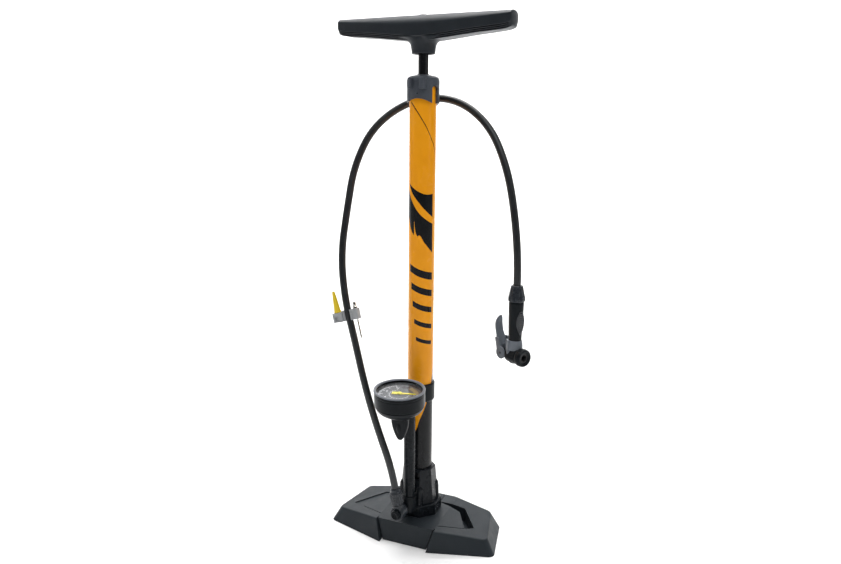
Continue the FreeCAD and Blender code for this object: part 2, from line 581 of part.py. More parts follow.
# ---------------------------------------------------------------- pump head
turn = Rotation(Z, D.headTurn.v)
H = (D.headX, D.headY, 0)
HN = (D.headX, D.headY, D.nozzleZ)
done(revolve([(0, 321.0), (10.1, 321.0), (10.4, 323.0), (10.1, 326.0), (7.3, 338.6), (6.6, 340.0), (0, 340.0)], H),
     "head_collar")
stem = revolve([(0, 245.5), (5.5, 245.5), (7.8, 247.8), (8.0, 264), (8.7, 300), (9.0, 316), (9.0, 321.0), (0, 321.0)], H)
barrel_x = revolve([(0, -8.2), (8.6, -8.2), (9.8, -7.0), (9.8, 9.6), (0, 9.6)], HN, turn * TO_X)
lugs = [box((-20.0, y0, -4.0), (-6.0, y1, 6.5), HN, turn) for y0, y1 in ((-6.0, -3.1), (3.1, 6.0))]
cross = fuse(revolve([(0, -12), (3.6, -12), (3.6, 7.0), (7.6, 7.0), (7.6, 12), (0, 12)], HN, turn * TO_X),
             cyl(2.0, 70, (D.headX, D.headY, D.nozzleZ)))
pin_way = cyl(1.52, 20, tuple(turn.multVec(Vector(-16.0, 10, 0)) + Vector(D.headX.v, D.headY.v, D.nozzleZ.v)),
              turn * Rotation(X, 90))
grip_seat = pad(poly([(-4.8, 282), (4.8, 282), (5.4, 286), (5.4, 308), (4.8, 312), (-4.8, 312), (-5.4, 308),
                      (-5.4, 286)]), 6, "YZ_Plane", off=7.2, at=H, rot=turn)
done(cut(fuse(stem, barrel_x, *lugs), cross, pin_way, grip_seat), "head_body")
grip_pad = pad(poly([(-4.7, 282.1), (4.7, 282.1), (5.3, 286), (5.3, 308), (4.7, 311.9), (-4.7, 311.9), (-5.3, 308),
                     (-5.3, 286)]), 1.6, "YZ_Plane", off=7.22, at=H, rot=turn)
bars = [box((8.6, -4.4, 283.6 + 3.2 * i), (9.8, 4.4, 285.2 + 3.2 * i), H, turn) for i in range(9)]
done(fuse(grip_pad, *bars), "head_grip")
lever_fork = pad(poly([(-20.6, 257), (-16.2, 258), (-17.4, 263), (-20.6, 269), (-22.6, 274), (-27.4, 274), (-25.6, 268),
                       (-23.4, 261)]), 17.0, "XZ_Plane", mid=True, at=H, rot=turn)
lever_leaf = pad(poly([(-20.8, 269), (-23.4, 275), (-25.6, 281.5), (-26.6, 288), (-26.0, 294), (-24.6, 297.4), (-26.3, 298.6),
                       (-29.2, 295.6), (-31.2, 290), (-30.9, 283), (-28.8, 276), (-26.2, 268)]), 11.0, "XZ_Plane", mid=True,
                 at=H, rot=turn, round_r=0.9, pick=lambda e: e.BoundBox.YLength < 0.01 and e.BoundBox.ZMin > 275.5)
lever_arm = fuse(lever_fork, lever_leaf)
cheeks = [revolve([(0, y0), (7.6, y0), (7.6, y1), (0, y1)],
                  tuple(turn.multVec(Vector(-16.0, 0, 0)) + Vector(D.headX.v, D.headY.v, D.nozzleZ.v)),
                  turn * Rotation(X, 90)) for y0, y1 in ((-8.5, -6.4), (6.4, 8.5))]
cam = cyl(5.4, 5.4, tuple(turn.multVec(Vector(-16.0, 2.7, -1.6)) + Vector(D.headX.v, D.headY.v, D.nozzleZ.v)),
          turn * Rotation(X, 90))
cam_web = box((-20.6, -2.7, -3.0), (-17.6, 2.7, 4.0), HN, turn)
lever_axis = tuple(turn.multVec(Vector(-16.0, 0, 0)) + Vector(D.headX.v, D.headY.v, D.nozzleZ.v))
lug_room = [box((-21.5, y0, -10.0), (-4.0, y1, 7.3), HN, turn) for y0, y1 in ((-6.35, -2.75), (2.75, 6.35))]
lug_room += [revolve([(0, y0), (8.3, y0), (8.3, y1), (0, y1)], lever_axis, turn * Rotation(X, 90))
             for y0, y1 in ((-6.35, -2.75), (2.75, 6.35))]
done(cut(fuse(lever_arm, *cheeks, cam, cam_web), fuse(*lug_room),
         cyl(1.56, 20, tuple(turn.multVec(Vector(-16.0, 10, 0)) + Vector(D.headX.v, D.headY.v, D.nozzleZ.v)),
             turn * Rotation(X, 90)), box((-15.0, -2.7, 4.2), (0, 2.7, 12.0), HN, turn)), "head_lever")
done(cyl(1.5, 17.4, tuple(turn.multVec(Vector(-16.0, 8.7, 0)) + Vector(D.headX.v, D.headY.v, D.nozzleZ.v)),
         turn * Rotation(X, 90)), "lever_pin")
done(revolve([(0, -10.2), (3.52, -10.2), (3.52, 2.6), (1.2, 2.6), (1.2, 0), (0, 0)], HN, turn * TO_X), "head_plunger")
done(revolve([(7.62, 9.62), (10.4, 9.62), (10.8, 10.4), (10.8, 16.4), (9.8, 18.0), (6.2, 18.0), (5.6, 17.2),
              (5.6, 15.0), (7.62, 15.0)], HN, turn * TO_X), "nozzle_ring")
done(revolve([(4.1, 7.05), (7.55, 7.05), (7.55, 14.9), (5.5, 14.9), (5.5, 16.4), (4.1, 16.4)], HN, turn * TO_X),
     "nozzle_grommet")

# ---------------------------------------------------------------- accessories clipped on the hose
C0 = Vector(-75.8, -47.5, 293.0)
clip_rot = Rotation(Z, Vector(-0.27, 0.09, 0.96))


def on_clip(x, y, z):
    return tuple(clip_rot.multVec(Vector(x, y, z)) + C0)


def c_box(lo, hi):
    return box(lo, hi, tuple(C0), clip_rot)


block = fuse(cyl(7.6, 13.0, on_clip(0, 0, -6.5), clip_rot), c_box((-20.0, -6.0, -6.5), (-5.0, 6.0, 5.0)),
             c_box((5.0, -4.5, -6.5), (14.0, 4.5, 6.5)))
done(cut(block, cyl(4.64, 20, on_clip(0, 0, -10), clip_rot), c_box((-3.6, -12, -10), (3.6, -3.0, 10)),
         cyl(2.05, 20, on_clip(-14.5, 0, -10), clip_rot), cyl(1.55, 20, on_clip(10.6, 0, -10), clip_rot),
         c_box((-18.0, -7.0, -4.5), (-12.5, -4.6, 0.5))), "accessory_clip")
done(revolve([(0, -6.0), (2.0, -6.0), (2.0, 5.05), (4.6, 5.05), (4.2, 9.0), (2.6, 24.0), (1.7, 31.0), (0, 32.0)],
             on_clip(-14.5, 0, 0), clip_rot), "inflation_cone")
done(revolve([(0, -31.0), (0.5, -31.0), (1.0, -29.6), (1.0, -8.0), (1.5, -6.0), (1.5, 6.55), (3.6, 6.55), (3.6, 9.0),
              (2.4, 9.0), (2.4, 14.6), (0, 14.6)], on_clip(10.6, 0, 0), clip_rot), "ball_needle")

# ---------------------------------------------------------------- checks and files
doc.recompute()
bad = []
for o in doc.Objects:
    if any(s in ("Invalid", "Error") for s in o.State):
        bad.append("%s (%s) state %s" % (o.Label, o.Name, o.State))
for o in SUBPARTS:
    s = o.Shape
    if s.isNull() or not s.isValid() or s.Volume <= 0:
        bad.append("%s shape" % o.Label)
for b in bad:
    print("BAD", b)
if bad:
    raise RuntimeError("; ".join(bad[:5]))
os.makedirs("parts", exist_ok=True)
for o in SUBPARTS:
    s = o.Shape
    bb_ = s.BoundBox
    print("%-20s solids %d vol %9.1f  x %.1f..%.1f y %.1f..%.1f z %.1f..%.1f" % (
        o.Label, len(s.Solids), s.Volume, bb_.XMin, bb_.XMax, bb_.YMin, bb_.YMax, bb_.ZMin, bb_.ZMax))
    s.exportStep("parts/%s.step" % o.Label)
print(len(SUBPARTS), "sub-parts")
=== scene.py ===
import bpy, bmesh, math
from mathutils import Matrix, Vector


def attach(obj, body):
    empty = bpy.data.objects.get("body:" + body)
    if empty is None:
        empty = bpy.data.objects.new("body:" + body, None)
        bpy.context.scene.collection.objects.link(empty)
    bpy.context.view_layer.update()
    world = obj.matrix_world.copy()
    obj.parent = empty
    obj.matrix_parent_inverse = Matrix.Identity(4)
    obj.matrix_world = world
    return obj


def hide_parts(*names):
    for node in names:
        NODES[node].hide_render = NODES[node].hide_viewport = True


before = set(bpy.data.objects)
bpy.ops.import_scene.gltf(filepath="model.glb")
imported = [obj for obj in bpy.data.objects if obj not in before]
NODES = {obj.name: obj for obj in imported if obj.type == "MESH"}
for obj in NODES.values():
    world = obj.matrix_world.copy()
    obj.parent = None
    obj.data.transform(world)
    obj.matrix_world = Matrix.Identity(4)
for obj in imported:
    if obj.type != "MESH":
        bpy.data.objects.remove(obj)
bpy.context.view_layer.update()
MM = 0.001
scene = bpy.context.scene
R = math.radians


# ------------------------------------------------------------------ camera
def make_camera():
    az, yaw, pitch, roll = R(21.85), R(0.06), R(12.83), R(0.55)
    dist, high, focal = 868.0, 529.2, 722.6
    pos = Vector((dist * math.sin(az), -dist * math.cos(az), high)) * MM
    a = az + yaw
    fwd = Vector((-math.sin(a) * math.cos(pitch), math.cos(a) * math.cos(pitch), -math.sin(pitch)))
    right = fwd.cross(Vector((0, 0, 1))).normalized()
    up = right.cross(fwd)
    r2 = right * math.cos(roll) + up * math.sin(roll)
    u2 = up * math.cos(roll) - right * math.sin(roll)
    cam_data = bpy.data.cameras.new("camera")
    cam_data.sensor_width = 36.0
    cam_data.lens = focal / 841.0 * 36.0
    cam_data.clip_start, cam_data.clip_end = 0.05, 50
    cam = bpy.data.objects.new("camera", cam_data)
    scene.collection.objects.link(cam)
    m = Matrix((r2, u2, -fwd)).transposed().to_4x4()
    m.translation = pos
    cam.matrix_world = m
    scene.camera = cam


make_camera()

# ------------------------------------------------------------------ node helpers


class Graph(object):
    """A small wrapper that builds a material's node tree."""

    def __init__(self, name):
        self.m = bpy.data.materials.new(name)
        self.m.use_nodes = True
        self.t = self.m.node_tree
        self.n = self.t.nodes
        self.bsdf = self.n["Principled BSDF"]
        self.coord = self.n.new("ShaderNodeTexCoord").outputs["Object"]

    def link(self, a, b):
        self.t.links.new(a, b)

    def put(self, sock, v):
        if isinstance(v, (int, float)):
            sock.default_value = v
        else:
            self.link(v, sock)

    def math(self, op, a, b=0.0, c=None):
        k = self.n.new("ShaderNodeMath")
        k.operation = op
        self.put(k.inputs[0], a)
        self.put(k.inputs[1], b)
        if c is not None:
            self.put(k.inputs[2], c)
        return k.outputs[0]

    def noise(self, scale, detail=3.0, rough=0.5, coord=None, dist=0.0):
        k = self.n.new("ShaderNodeTexNoise")
        k.inputs["Scale"].default_value = scale
        k.inputs["Detail"].default_value = detail
        k.inputs["Roughness"].default_value = rough
        k.inputs["Distortion"].default_value = dist
        self.link(coord or self.coord, k.inputs["Vector"])
        return k.outputs["Fac"]

    def voronoi(self, scale, coord=None):
        k = self.n.new("ShaderNodeTexVoronoi")
        k.inputs["Scale"].default_value = scale
        self.link(coord or self.coord, k.inputs["Vector"])
        return k.outputs["Distance"]

    def ramp(self, fac, stops):
        k = self.n.new("ShaderNodeValToRGB")
        e = k.color_ramp.elements
        while len(e) < len(stops):
            e.new(0.5)
        for el, (p, c) in zip(e, stops):
            el.position = p
            el.color = (c[0], c[1], c[2], 1.0)
        self.link(fac, k.inputs["Fac"])
        return k.outputs["Color"]

    def span(self, fac, lo, hi):
        k = self.n.new("ShaderNodeMapRange")
        k.inputs["From Min"].default_value = 0.25
        k.inputs["From Max"].default_value = 0.75
        k.inputs["To Min"].default_value = lo
        k.inputs["To Max"].default_value = hi
        self.link(fac, k.inputs["Value"])
        return k.outputs["Result"]

    def bump(self, height, strength, distance, before=None):
        k = self.n.new("ShaderNodeBump")
        k.inputs["Strength"].default_value = strength
        k.inputs["Distance"].default_value = distance
        self.link(height, k.inputs["Height"])
        if before is not None:
            self.link(before, k.inputs["Normal"])
        return k.outputs["Normal"]

    def mix(self, fac, a, b):
        k = self.n.new("ShaderNodeMix")
        k.data_type = "RGBA"
        self.put(k.inputs[0], fac)
        for sock, v in ((k.inputs[6], a), (k.inputs[7], b)):
            if isinstance(v, tuple):
                sock.default_value = (v[0], v[1], v[2], 1.0)
            else:
                self.link(v, sock)
        return k.outputs[2]

    def split(self, v=None):
        k = self.n.new("ShaderNodeSeparateXYZ")
        self.link(v or self.coord, k.inputs[0])
        return k.outputs[0], k.outputs[1], k.outputs[2]

    def scaled(self, sx, sy, sz):
        k = self.n.new("ShaderNodeMapping")
        k.inputs["Scale"].default_value = (sx, sy, sz)
        self.link(self.coord, k.inputs["Vector"])
        return k.outputs["Vector"]


def shade(c, k):
    return tuple(min(1.0, v * k) for v in c)


def plastic(name, base, rough=0.45, grain=1500.0, grain_amt=0.25, grain_depth=0.00012, var=0.18, coat=0.0,
            rough_var=0.07, spec=0.2, wave=0.0):
    """Moulded plastic: fine spark-eroded grain, slow tone changes and uneven polish."""
    g = Graph(name)
    slow = g.noise(38.0, 4.0, 0.6)
    fine = g.noise(grain, 2.0, 0.55)
    cells = g.voronoi(grain * 0.55)
    tone = g.ramp(g.math("ADD", g.math("MULTIPLY", slow, 0.65), g.math("MULTIPLY", fine, 0.35)),
                  [(0.25, shade(base, 1 - var)), (0.5, base), (0.78, shade(base, 1 + var))])
    g.link(tone, g.bsdf.inputs["Base Color"])
    g.link(g.span(g.noise(90.0, 3.0), rough - rough_var, rough + rough_var), g.bsdf.inputs["Roughness"])
    h = g.math("ADD", g.math("MULTIPLY", fine, 0.6), g.math("MULTIPLY", cells, 0.4))
    g.link(g.bump(h, grain_amt, grain_depth), g.bsdf.inputs["Normal"])
    g.bsdf.inputs["Specular IOR Level"].default_value = spec
    if coat:
        g.bsdf.inputs["Coat Weight"].default_value = coat
        g.bsdf.inputs["Coat Roughness"].default_value = 0.12
    return g.m


def rubber(name, base=(0.012, 0.012, 0.013), rough=0.62):
    g = Graph(name)
    dust = g.noise(260.0, 5.0, 0.65)
    g.link(g.ramp(dust, [(0.3, base), (0.75, shade(base, 1.9))]), g.bsdf.inputs["Base Color"])
    g.link(g.span(g.noise(700.0, 3.0), rough - 0.1, rough + 0.1), g.bsdf.inputs["Roughness"])
    g.link(g.bump(g.noise(2400.0, 2.0), 0.2, 0.00008), g.bsdf.inputs["Normal"])
    return g.m


def metal(name, base, rough=0.25, brushed=(1, 1, 12), depth=0.00002):
    """Turned or drawn metal with fine lines along one axis."""
    g = Graph(name)
    lines = g.noise(1500.0, 3.0, 0.6, g.scaled(*brushed))
    g.link(g.ramp(lines, [(0.3, shade(base, 0.86)), (0.7, shade(base, 1.08))]), g.bsdf.inputs["Base Color"])
    g.bsdf.inputs["Metallic"].default_value = 1.0
    g.link(g.span(lines, rough - 0.07, rough + 0.09), g.bsdf.inputs["Roughness"])
    g.link(g.bump(lines, 0.12, depth), g.bsdf.inputs["Normal"])
    return g.m


M_BASE = plastic("base_grained_plastic", (0.021, 0.026, 0.031), 0.42, 1700, 0.30, var=0.14, spec=0.16)
M_HANDLE = plastic("handle_grained_plastic", (0.021, 0.025, 0.030), 0.40, 1500, 0.40, var=0.16, spec=0.22)
M_BODY = plastic("black_moulded_plastic", (0.0065, 0.0085, 0.0105), 0.34, 2000, 0.20, var=0.15, spec=0.12)
M_CAP = plastic("cap_plastic", (0.066, 0.075, 0.090), 0.38, 1800, 0.25, var=0.13, spec=0.25)
M_TUBE = plastic("air_tube_plastic", (0.0065, 0.0085, 0.0105), 0.26, 1200, 0.10, var=0.12, spec=0.14)
M_HEAD_LIGHT = plastic("head_housing_plastic", (0.165, 0.182, 0.208), 0.36, 2200, 0.18, var=0.12)
M_LEVER = plastic("lever_plastic", (0.132, 0.148, 0.170), 0.36, 2200, 0.20, var=0.12)
M_COLLAR = plastic("collar_plastic", (0.021, 0.025, 0.031), 0.28, 2000, 0.18, var=0.14, spec=0.35)
M_SOCKET = plastic("socket_gloss_plastic", (0.0075, 0.0095, 0.0120), 0.27, 1900, 0.12, var=0.10, spec=0.16)
M_GRIP = rubber("ribbed_grip_rubber", (0.034, 0.036, 0.040), 0.46)
M_PIN = metal("blackened_pin_steel", (0.055, 0.058, 0.065), 0.36)
M_RING = plastic("dial_ring_plastic", (0.060, 0.064, 0.070), 0.40, 2200, 0.12, var=0.10)
M_BEZEL = plastic("bezel_plastic", (0.150, 0.162, 0.185), 0.32, 2200, 0.12, var=0.10, coat=0.2)
M_CLIP = plastic("clip_grey_plastic", (0.36, 0.37, 0.38), 0.45, 2300, 0.15, var=0.07)
M_CONE = plastic("cone_yellow_plastic", (0.78, 0.56, 0.035), 0.34, 2300, 0.10, var=0.08, coat=0.2)
M_NYLON = plastic("natural_nylon", (0.72, 0.72, 0.68), 0.42, 1800, 0.10, var=0.05)
M_NEEDLE = plastic("gauge_needle_paint", (0.93, 0.80, 0.035), 0.38, 3000, 0.05, var=0.05)
M_RUBBER = rubber("moulded_rubber")
M_STEEL = metal("zinc_plated_steel", (0.55, 0.56, 0.58), 0.30)
M_BRASS = metal("turned_brass", (0.70, 0.52, 0.22), 0.32)
M_NICKEL = metal("nickel_plated_brass", (0.66, 0.64, 0.60), 0.18)
M_ROD = plastic("gloss_black_rod", (0.006, 0.0065, 0.008), 0.14, 900, 0.03, var=0.12, coat=0.5, rough_var=0.03)


def hose_material():
    """Smooth extruded rubber with faint lengthwise marks and a slightly dusty bloom."""
    g = Graph("hose_rubber")
    bloom = g.noise(120.0, 5.0, 0.6)
    fine = g.noise(1800.0, 2.0)
    g.link(g.ramp(g.math("ADD", g.math("MULTIPLY", bloom, 0.7), g.math("MULTIPLY", fine, 0.3)),
                  [(0.3, (0.006, 0.007, 0.0085)), (0.7, (0.012, 0.0135, 0.016))]), g.bsdf.inputs["Base Color"])
    g.link(g.span(bloom, 0.30, 0.46), g.bsdf.inputs["Roughness"])
    g.link(g.bump(fine, 0.15, 0.00005), g.bsdf.inputs["Normal"])
    return g.m


def barrel_material():
    """Gloss paint: orange above a sweeping edge, black below it, with plain black bands and bars."""
    g = Graph("barrel_paint")
    x, y, z = g.split()
    # angle from the front-right generator (22 degrees from -Y towards +X), in turns -0.5..0.5
    t = R(21.85)
    fx, fy = math.sin(t), -math.cos(t)
    rx, ry = math.cos(t), math.sin(t)
    front = g.math("ADD", g.math("MULTIPLY", x, fx), g.math("MULTIPLY", y, fy))
    side = g.math("ADD", g.math("MULTIPLY", x, rx), g.math("MULTIPLY", y, ry))
    turn = g.math("DIVIDE", g.math("ARCTAN2", side, front), 2 * math.pi)
    u = g.math("ADD", turn, 0.5)
    zmm = g.math("MULTIPLY", z, 1000.0)

    def edge(pts):
        """Height in mm as a smooth function of the angle, from (degrees, height) points."""
        k = g.n.new("ShaderNodeFloatCurve")
        c = k.mapping.curves[0]
        want = [((a / 360.0) + 0.5, h / 600.0) for a, h in pts]
        c.points[0].location = want[0]
        c.points[-1].location = want[-1]
        for w in want[1:-1]:
            c.points.new(*w)
        k.mapping.update()
        g.link(u, k.inputs["Value"])
        return g.math("MULTIPLY", k.outputs[0], 600.0)

    def less(a, b):
        return g.math("LESS_THAN", a, b)

    def between(lo, hi):
        return g.math("MULTIPLY", less(lo, zmm), less(zmm, hi))

    deg = g.math("MULTIPLY", turn, 360.0)

    def sector(a, b):
        return g.math("MULTIPLY", less(a, deg), less(deg, b))

    lower = edge([(-180, 108), (-120, 110), (-60, 122), (-20, 141), (0, 157), (18, 169.5), (40, 187), (57, 203), (80, 224),
                  (100, 236), (130, 222), (155, 170), (180, 108)])
    black = less(zmm, lower)
    # upper band: a leaf that opens towards the right and ends square
    b1 = g.math("MULTIPLY", between(edge([(-180, 460), (-80, 458), (-68, 452), (-49, 443), (-17, 432), (13, 422.5), (52, 413.5),
                                          (180, 400)]),
                                    edge([(-180, 456), (-80, 455), (-68, 453), (-49, 449.5), (-9, 443), (17, 440.7), (52, 441),
                                          (180, 441)])), sector(-78, 52))
    b2 = g.math("MULTIPLY", between(edge([(-180, 420), (-74, 412), (-55, 399), (-40, 393), (-22, 388), (-12, 392), (12, 383),
                                          (54, 370), (180, 350)]),
                                    edge([(-180, 452), (-78, 446), (-48, 432.5), (-17, 420), (13, 412), (53, 405.5), (180, 400)])),
                sector(-80, 53))
    slit = g.math("MULTIPLY", between(edge([(-180, 380), (-40, 380), (-27, 380), (-18, 390), (0, 390), (180, 390)]),
                                      edge([(-180, 380), (-35, 409), (-31, 400), (-24, 393), (-16, 390.5), (0, 389), (180, 380)])),
                  sector(-35, -15))
    b2 = g.math("MULTIPLY", b2, g.math("SUBTRACT", 1.0, slit))
    # thin line that winds down from the cap
    thin_c = edge([(-180, 560), (-57, 546), (-25, 536), (0, 525.5), (18, 517), (36, 507), (61, 493), (74, 480), (90, 462),
                   (180, 380)])
    thin = g.math("MULTIPLY", less(g.math("ABSOLUTE", g.math("SUBTRACT", zmm, thin_c)), 1.0), sector(-57, 88))
    marks = g.math("MAXIMUM", b1, g.math("MAXIMUM", b2, thin))
    # plain slanted bars in place of any lettering
    for k in range(5):
        top = 352.0 - 21.0 * k
        c = edge([(-180, top + 8), (-62, top), (0, top - 7), (56, top - 11), (180, top - 16)])
        wide = 4.6 - 0.55 * k
        left = -58 + 9 * k
        bar = g.math("MULTIPLY", less(g.math("ABSOLUTE", g.math("SUBTRACT", zmm, c)), wide), sector(left, 54))
        marks = g.math("MAXIMUM", marks, bar)
    dark = g.math("MAXIMUM", black, marks)
    flow = g.noise(30.0, 4.0, 0.55)
    fleck = g.noise(2600.0, 2.0)
    tone = g.math("ADD", g.math("MULTIPLY", flow, 0.7), g.math("MULTIPLY", fleck, 0.3))
    orange = g.ramp(tone, [(0.3, (0.860, 0.322, 0.0080)), (0.55, (0.930, 0.362, 0.0110)), (0.8, (0.975, 0.398, 0.0160))])
    blackc = g.ramp(tone, [(0.3, (0.0035, 0.0040, 0.0048)), (0.8, (0.0070, 0.0078, 0.0090))])
    g.link(g.mix(dark, orange, blackc), g.bsdf.inputs["Base Color"])
    g.link(g.span(g.noise(55.0, 4.0), 0.19, 0.30), g.bsdf.inputs["Roughness"])
    g.link(g.bump(g.noise(420.0, 3.0), 0.05, 0.00006), g.bsdf.inputs["Normal"])
    g.bsdf.inputs["Specular IOR Level"].default_value = 0.18
    g.bsdf.inputs["Coat Weight"].default_value = 0.05
    g.bsdf.inputs["Coat Roughness"].default_value = 0.10
    return g.m


def lens_material():
    g = Graph("gauge_glass")
    g.bsdf.inputs["Base Color"].default_value = (0.96, 0.97, 0.98, 1)
    g.bsdf.inputs["Transmission Weight"].default_value = 1.0
    g.bsdf.inputs["IOR"].default_value = 1.12
    g.link(g.span(g.noise(60.0, 3.0), 0.01, 0.05), g.bsdf.inputs["Roughness"])
    g.link(g.bump(g.noise(80.0, 2.0), 0.02, 0.00004), g.bsdf.inputs["Normal"])
    return g.m


def paint(name, base, rough=0.5):
    """Printed ink with slight density changes."""
    g = Graph(name)
    g.link(g.ramp(g.noise(900.0, 3.0), [(0.3, shade(base, 0.9)), (0.7, shade(base, 1.06))]), g.bsdf.inputs["Base Color"])
    g.link(g.span(g.noise(300.0, 2.0), rough - 0.06, rough + 0.06), g.bsdf.inputs["Roughness"])
    return g.m


M_HOSE = hose_material()
M_BARREL = barrel_material()
M_LENS = lens_material()
M_DIAL = paint("dial_grey_print", (0.085, 0.090, 0.098))
M_INK = paint("dial_white_print", (0.80, 0.81, 0.82))
M_AMBER = paint("dial_amber_print", (0.27, 0.20, 0.095))
M_DARK_INK = paint("dial_black_print", (0.02, 0.021, 0.024))


# ------------------------------------------------------------------ mesh helpers
def frame_mat(at, z=(0, 0, 1), x=None):
    """Local frame in mm to the row frame in metres."""
    z = Vector(z).normalized()
    if x is None:
        x = Vector((1, 0, 0)) if abs(z.x) < 0.9 else Vector((0, 1, 0))
    x = Vector(x)
    x = (x - z * x.dot(z)).normalized()
    y = z.cross(x)
    m = Matrix((x, y, z)).transposed().to_4x4()
    m.translation = Vector(at)
    return Matrix.Scale(MM, 4) @ m


def finish_mesh(name, bm, mats, body, sharp=32, bevel=0.0, sub=0, slot=None, nodes=(), bev_seg=2, smooth=True):
    bmesh.ops.recalc_face_normals(bm, faces=bm.faces)
    me = bpy.data.meshes.new(name)
    bm.to_mesh(me)
    bm.free()
    ob = bpy.data.objects.new(name, me)
    scene.collection.objects.link(ob)
    for m in (mats if isinstance(mats, (list, tuple)) else [mats]):
        me.materials.append(m)
    if bevel:
        b = ob.modifiers.new("edge", "BEVEL")
        b.width = bevel * MM
        b.segments = bev_seg
        b.limit_method = "ANGLE"
        b.angle_limit = R(30)
        b.harden_normals = False
    if sub:
        s = ob.modifiers.new("smooth", "SUBSURF")
        s.levels = s.render_levels = sub
    if smooth:
        for p in me.polygons:
            p.use_smooth = True
        if sharp:
            me.set_sharp_from_angle(angle=R(sharp))
    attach(ob, body)
    if nodes:
        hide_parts(*nodes)
    return ob


def soften(pts, rad, n=4, closed=False):
    """Rounds the corners of a 2-D outline; rad is one radius or one per point."""
    out = []
    k = len(pts)
    rads = rad if isinstance(rad, (list, tuple)) else [rad] * k
    for i in range(k):
        if not closed and i in (0, k - 1):
            out.append(tuple(pts[i]))
            continue
        p0, p, p1 = Vector(pts[i - 1]), Vector(pts[i]), Vector(pts[(i + 1) % k])
        a, b = p0 - p, p1 - p
        r = rads[i]
        if r <= 0 or a.length < 1e-6 or b.length < 1e-6:
            out.append(tuple(p))
            continue
        ang = a.angle(b)
        if ang > R(178):
            out.append(tuple(p))
            continue
        cut = min(r / math.tan(ang / 2), 0.48 * a.length, 0.48 * b.length)
        s, e = p + a.normalized() * cut, p + b.normalized() * cut
        for j in range(n + 1):
            t = j / n
            q = s * (1 - t) ** 2 + p * 2 * t * (1 - t) + e * t ** 2
            out.append(tuple(q))
    return out


def lathe_into(bm, mat, prof, seg=72, closed=False, wob=None, mi=0):
    """Turns a (radius, height) outline about the local Z axis; wob(angle, r, h) may change r."""
    rows = []
    for r, h in prof:
        if r < 1e-6:
            rows.append([bm.verts.new(mat @ Vector((0, 0, h)))])
            continue
        row = []
        for i in range(seg):
            a = 2 * math.pi * i / seg
            rr = wob(a, r, h) if wob else r
            row.append(bm.verts.new(mat @ Vector((rr * math.cos(a), rr * math.sin(a), h))))
        rows.append(row)
    pairs = list(zip(rows, rows[1:])) + ([(rows[-1], rows[0])] if closed else [])
    for a, b in pairs:
        if len(a) == 1 and len(b) == 1:
            continue
        for i in range(seg):
            j = (i + 1) % seg
            if len(a) == 1:
                f = bm.faces.new((a[0], b[i], b[j]))
            elif len(b) == 1:
                f = bm.faces.new((a[i], b[0], a[j]))
            else:
                f = bm.faces.new((a[i], b[i], b[j], a[j]))
            f.material_index = mi


def lathe(name, prof, mats, body, at=(0, 0, 0), z=(0, 0, 1), x=None, seg=72, closed=False, wob=None, rad=0.0, n=3, **kw):
    bm = bmesh.new()
    if rad:
        prof = soften(prof, rad, n, closed)
    lathe_into(bm, frame_mat(at, z, x), prof, seg, closed, wob)
    return finish_mesh(name, bm, mats, body, **kw)


def loft_into(bm, rings, mi=0, caps=True):
    rows = [[bm.verts.new(Vector(p) * MM) for p in ring] for ring in rings]
    n = len(rows[0])
    for a, b in zip(rows, rows[1:]):
        for i in range(n):
            j = (i + 1) % n
            bm.faces.new((a[i], a[j], b[j], b[i])).material_index = mi
    if caps:
        bm.faces.new(rows[0][::-1]).material_index = mi
        bm.faces.new(rows[-1]).material_index = mi


def prism_into(bm, mat, pts, z0, z1, mi=0):
    a = [bm.verts.new(mat @ Vector((p[0], p[1], z0))) for p in pts]
    b = [bm.verts.new(mat @ Vector((p[0], p[1], z1))) for p in pts]
    n = len(pts)
    bm.faces.new(a[::-1]).material_index = mi
    bm.faces.new(b).material_index = mi
    for i in range(n):
        j = (i + 1) % n
        bm.faces.new((a[i], a[j], b[j], b[i])).material_index = mi


def arc_pts(cx, cy, r, a0, a1, n):
    return [(cx + r * math.cos(R(a0 + (a1 - a0) * i / n)), cy + r * math.sin(R(a0 + (a1 - a0) * i / n))) for i in range(n + 1)]


# ------------------------------------------------------------------ hose
AZ = R(-6)
KNUCKLE = Vector((53 * math.sin(AZ), -53 * math.cos(AZ), 46.0))
UP = Vector((-0.152, -0.060, 0.986)).normalized()
EXIT = KNUCKLE + UP * 33.0
HEAD_X, HEAD_Y = 121.8, -4.0
route = [tuple(EXIT), tuple(EXIT + UP * 27.5), (-35.0, -55.4, 156.9), (-51.8, -54.2, 208.6), (-66.6, -49.8, 260.9),
         (-82.0, -46.1, 313.1), (-91.2, -36.6, 366.4), (-86.8, -27.4, 419.9), (-85.4, -10.0, 472.1), (-65.7, 5.8, 520.5),
         (-24.8, 30.6, 551.6), (31.3, 28.4, 552.1), (76.8, 16.7, 521.9), (102.2, 6.2, 474.0), (114.6, 1.5, 421.2),
         (HEAD_X, HEAD_Y, 367.2), (HEAD_X, HEAD_Y, 340.0)]
cu = bpy.data.curves.new("hose_line", "CURVE")
cu.dimensions = "3D"
sp = cu.splines.new("NURBS")
sp.points.add(len(route) - 1)
for p, c in zip(sp.points, route):
    p.co = (c[0] * MM, c[1] * MM, c[2] * MM, 1.0)
sp.order_u = 3
sp.use_endpoint_u = True
sp.resolution_u = 14
cu.bevel_depth = 0.0045
cu.bevel_resolution = 8
cu.use_fill_caps = True
cu.materials.append(M_HOSE)
hose = bpy.data.objects.new("hose_line", cu)
scene.collection.objects.link(hose)
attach(hose, "pump_body")
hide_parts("hose")

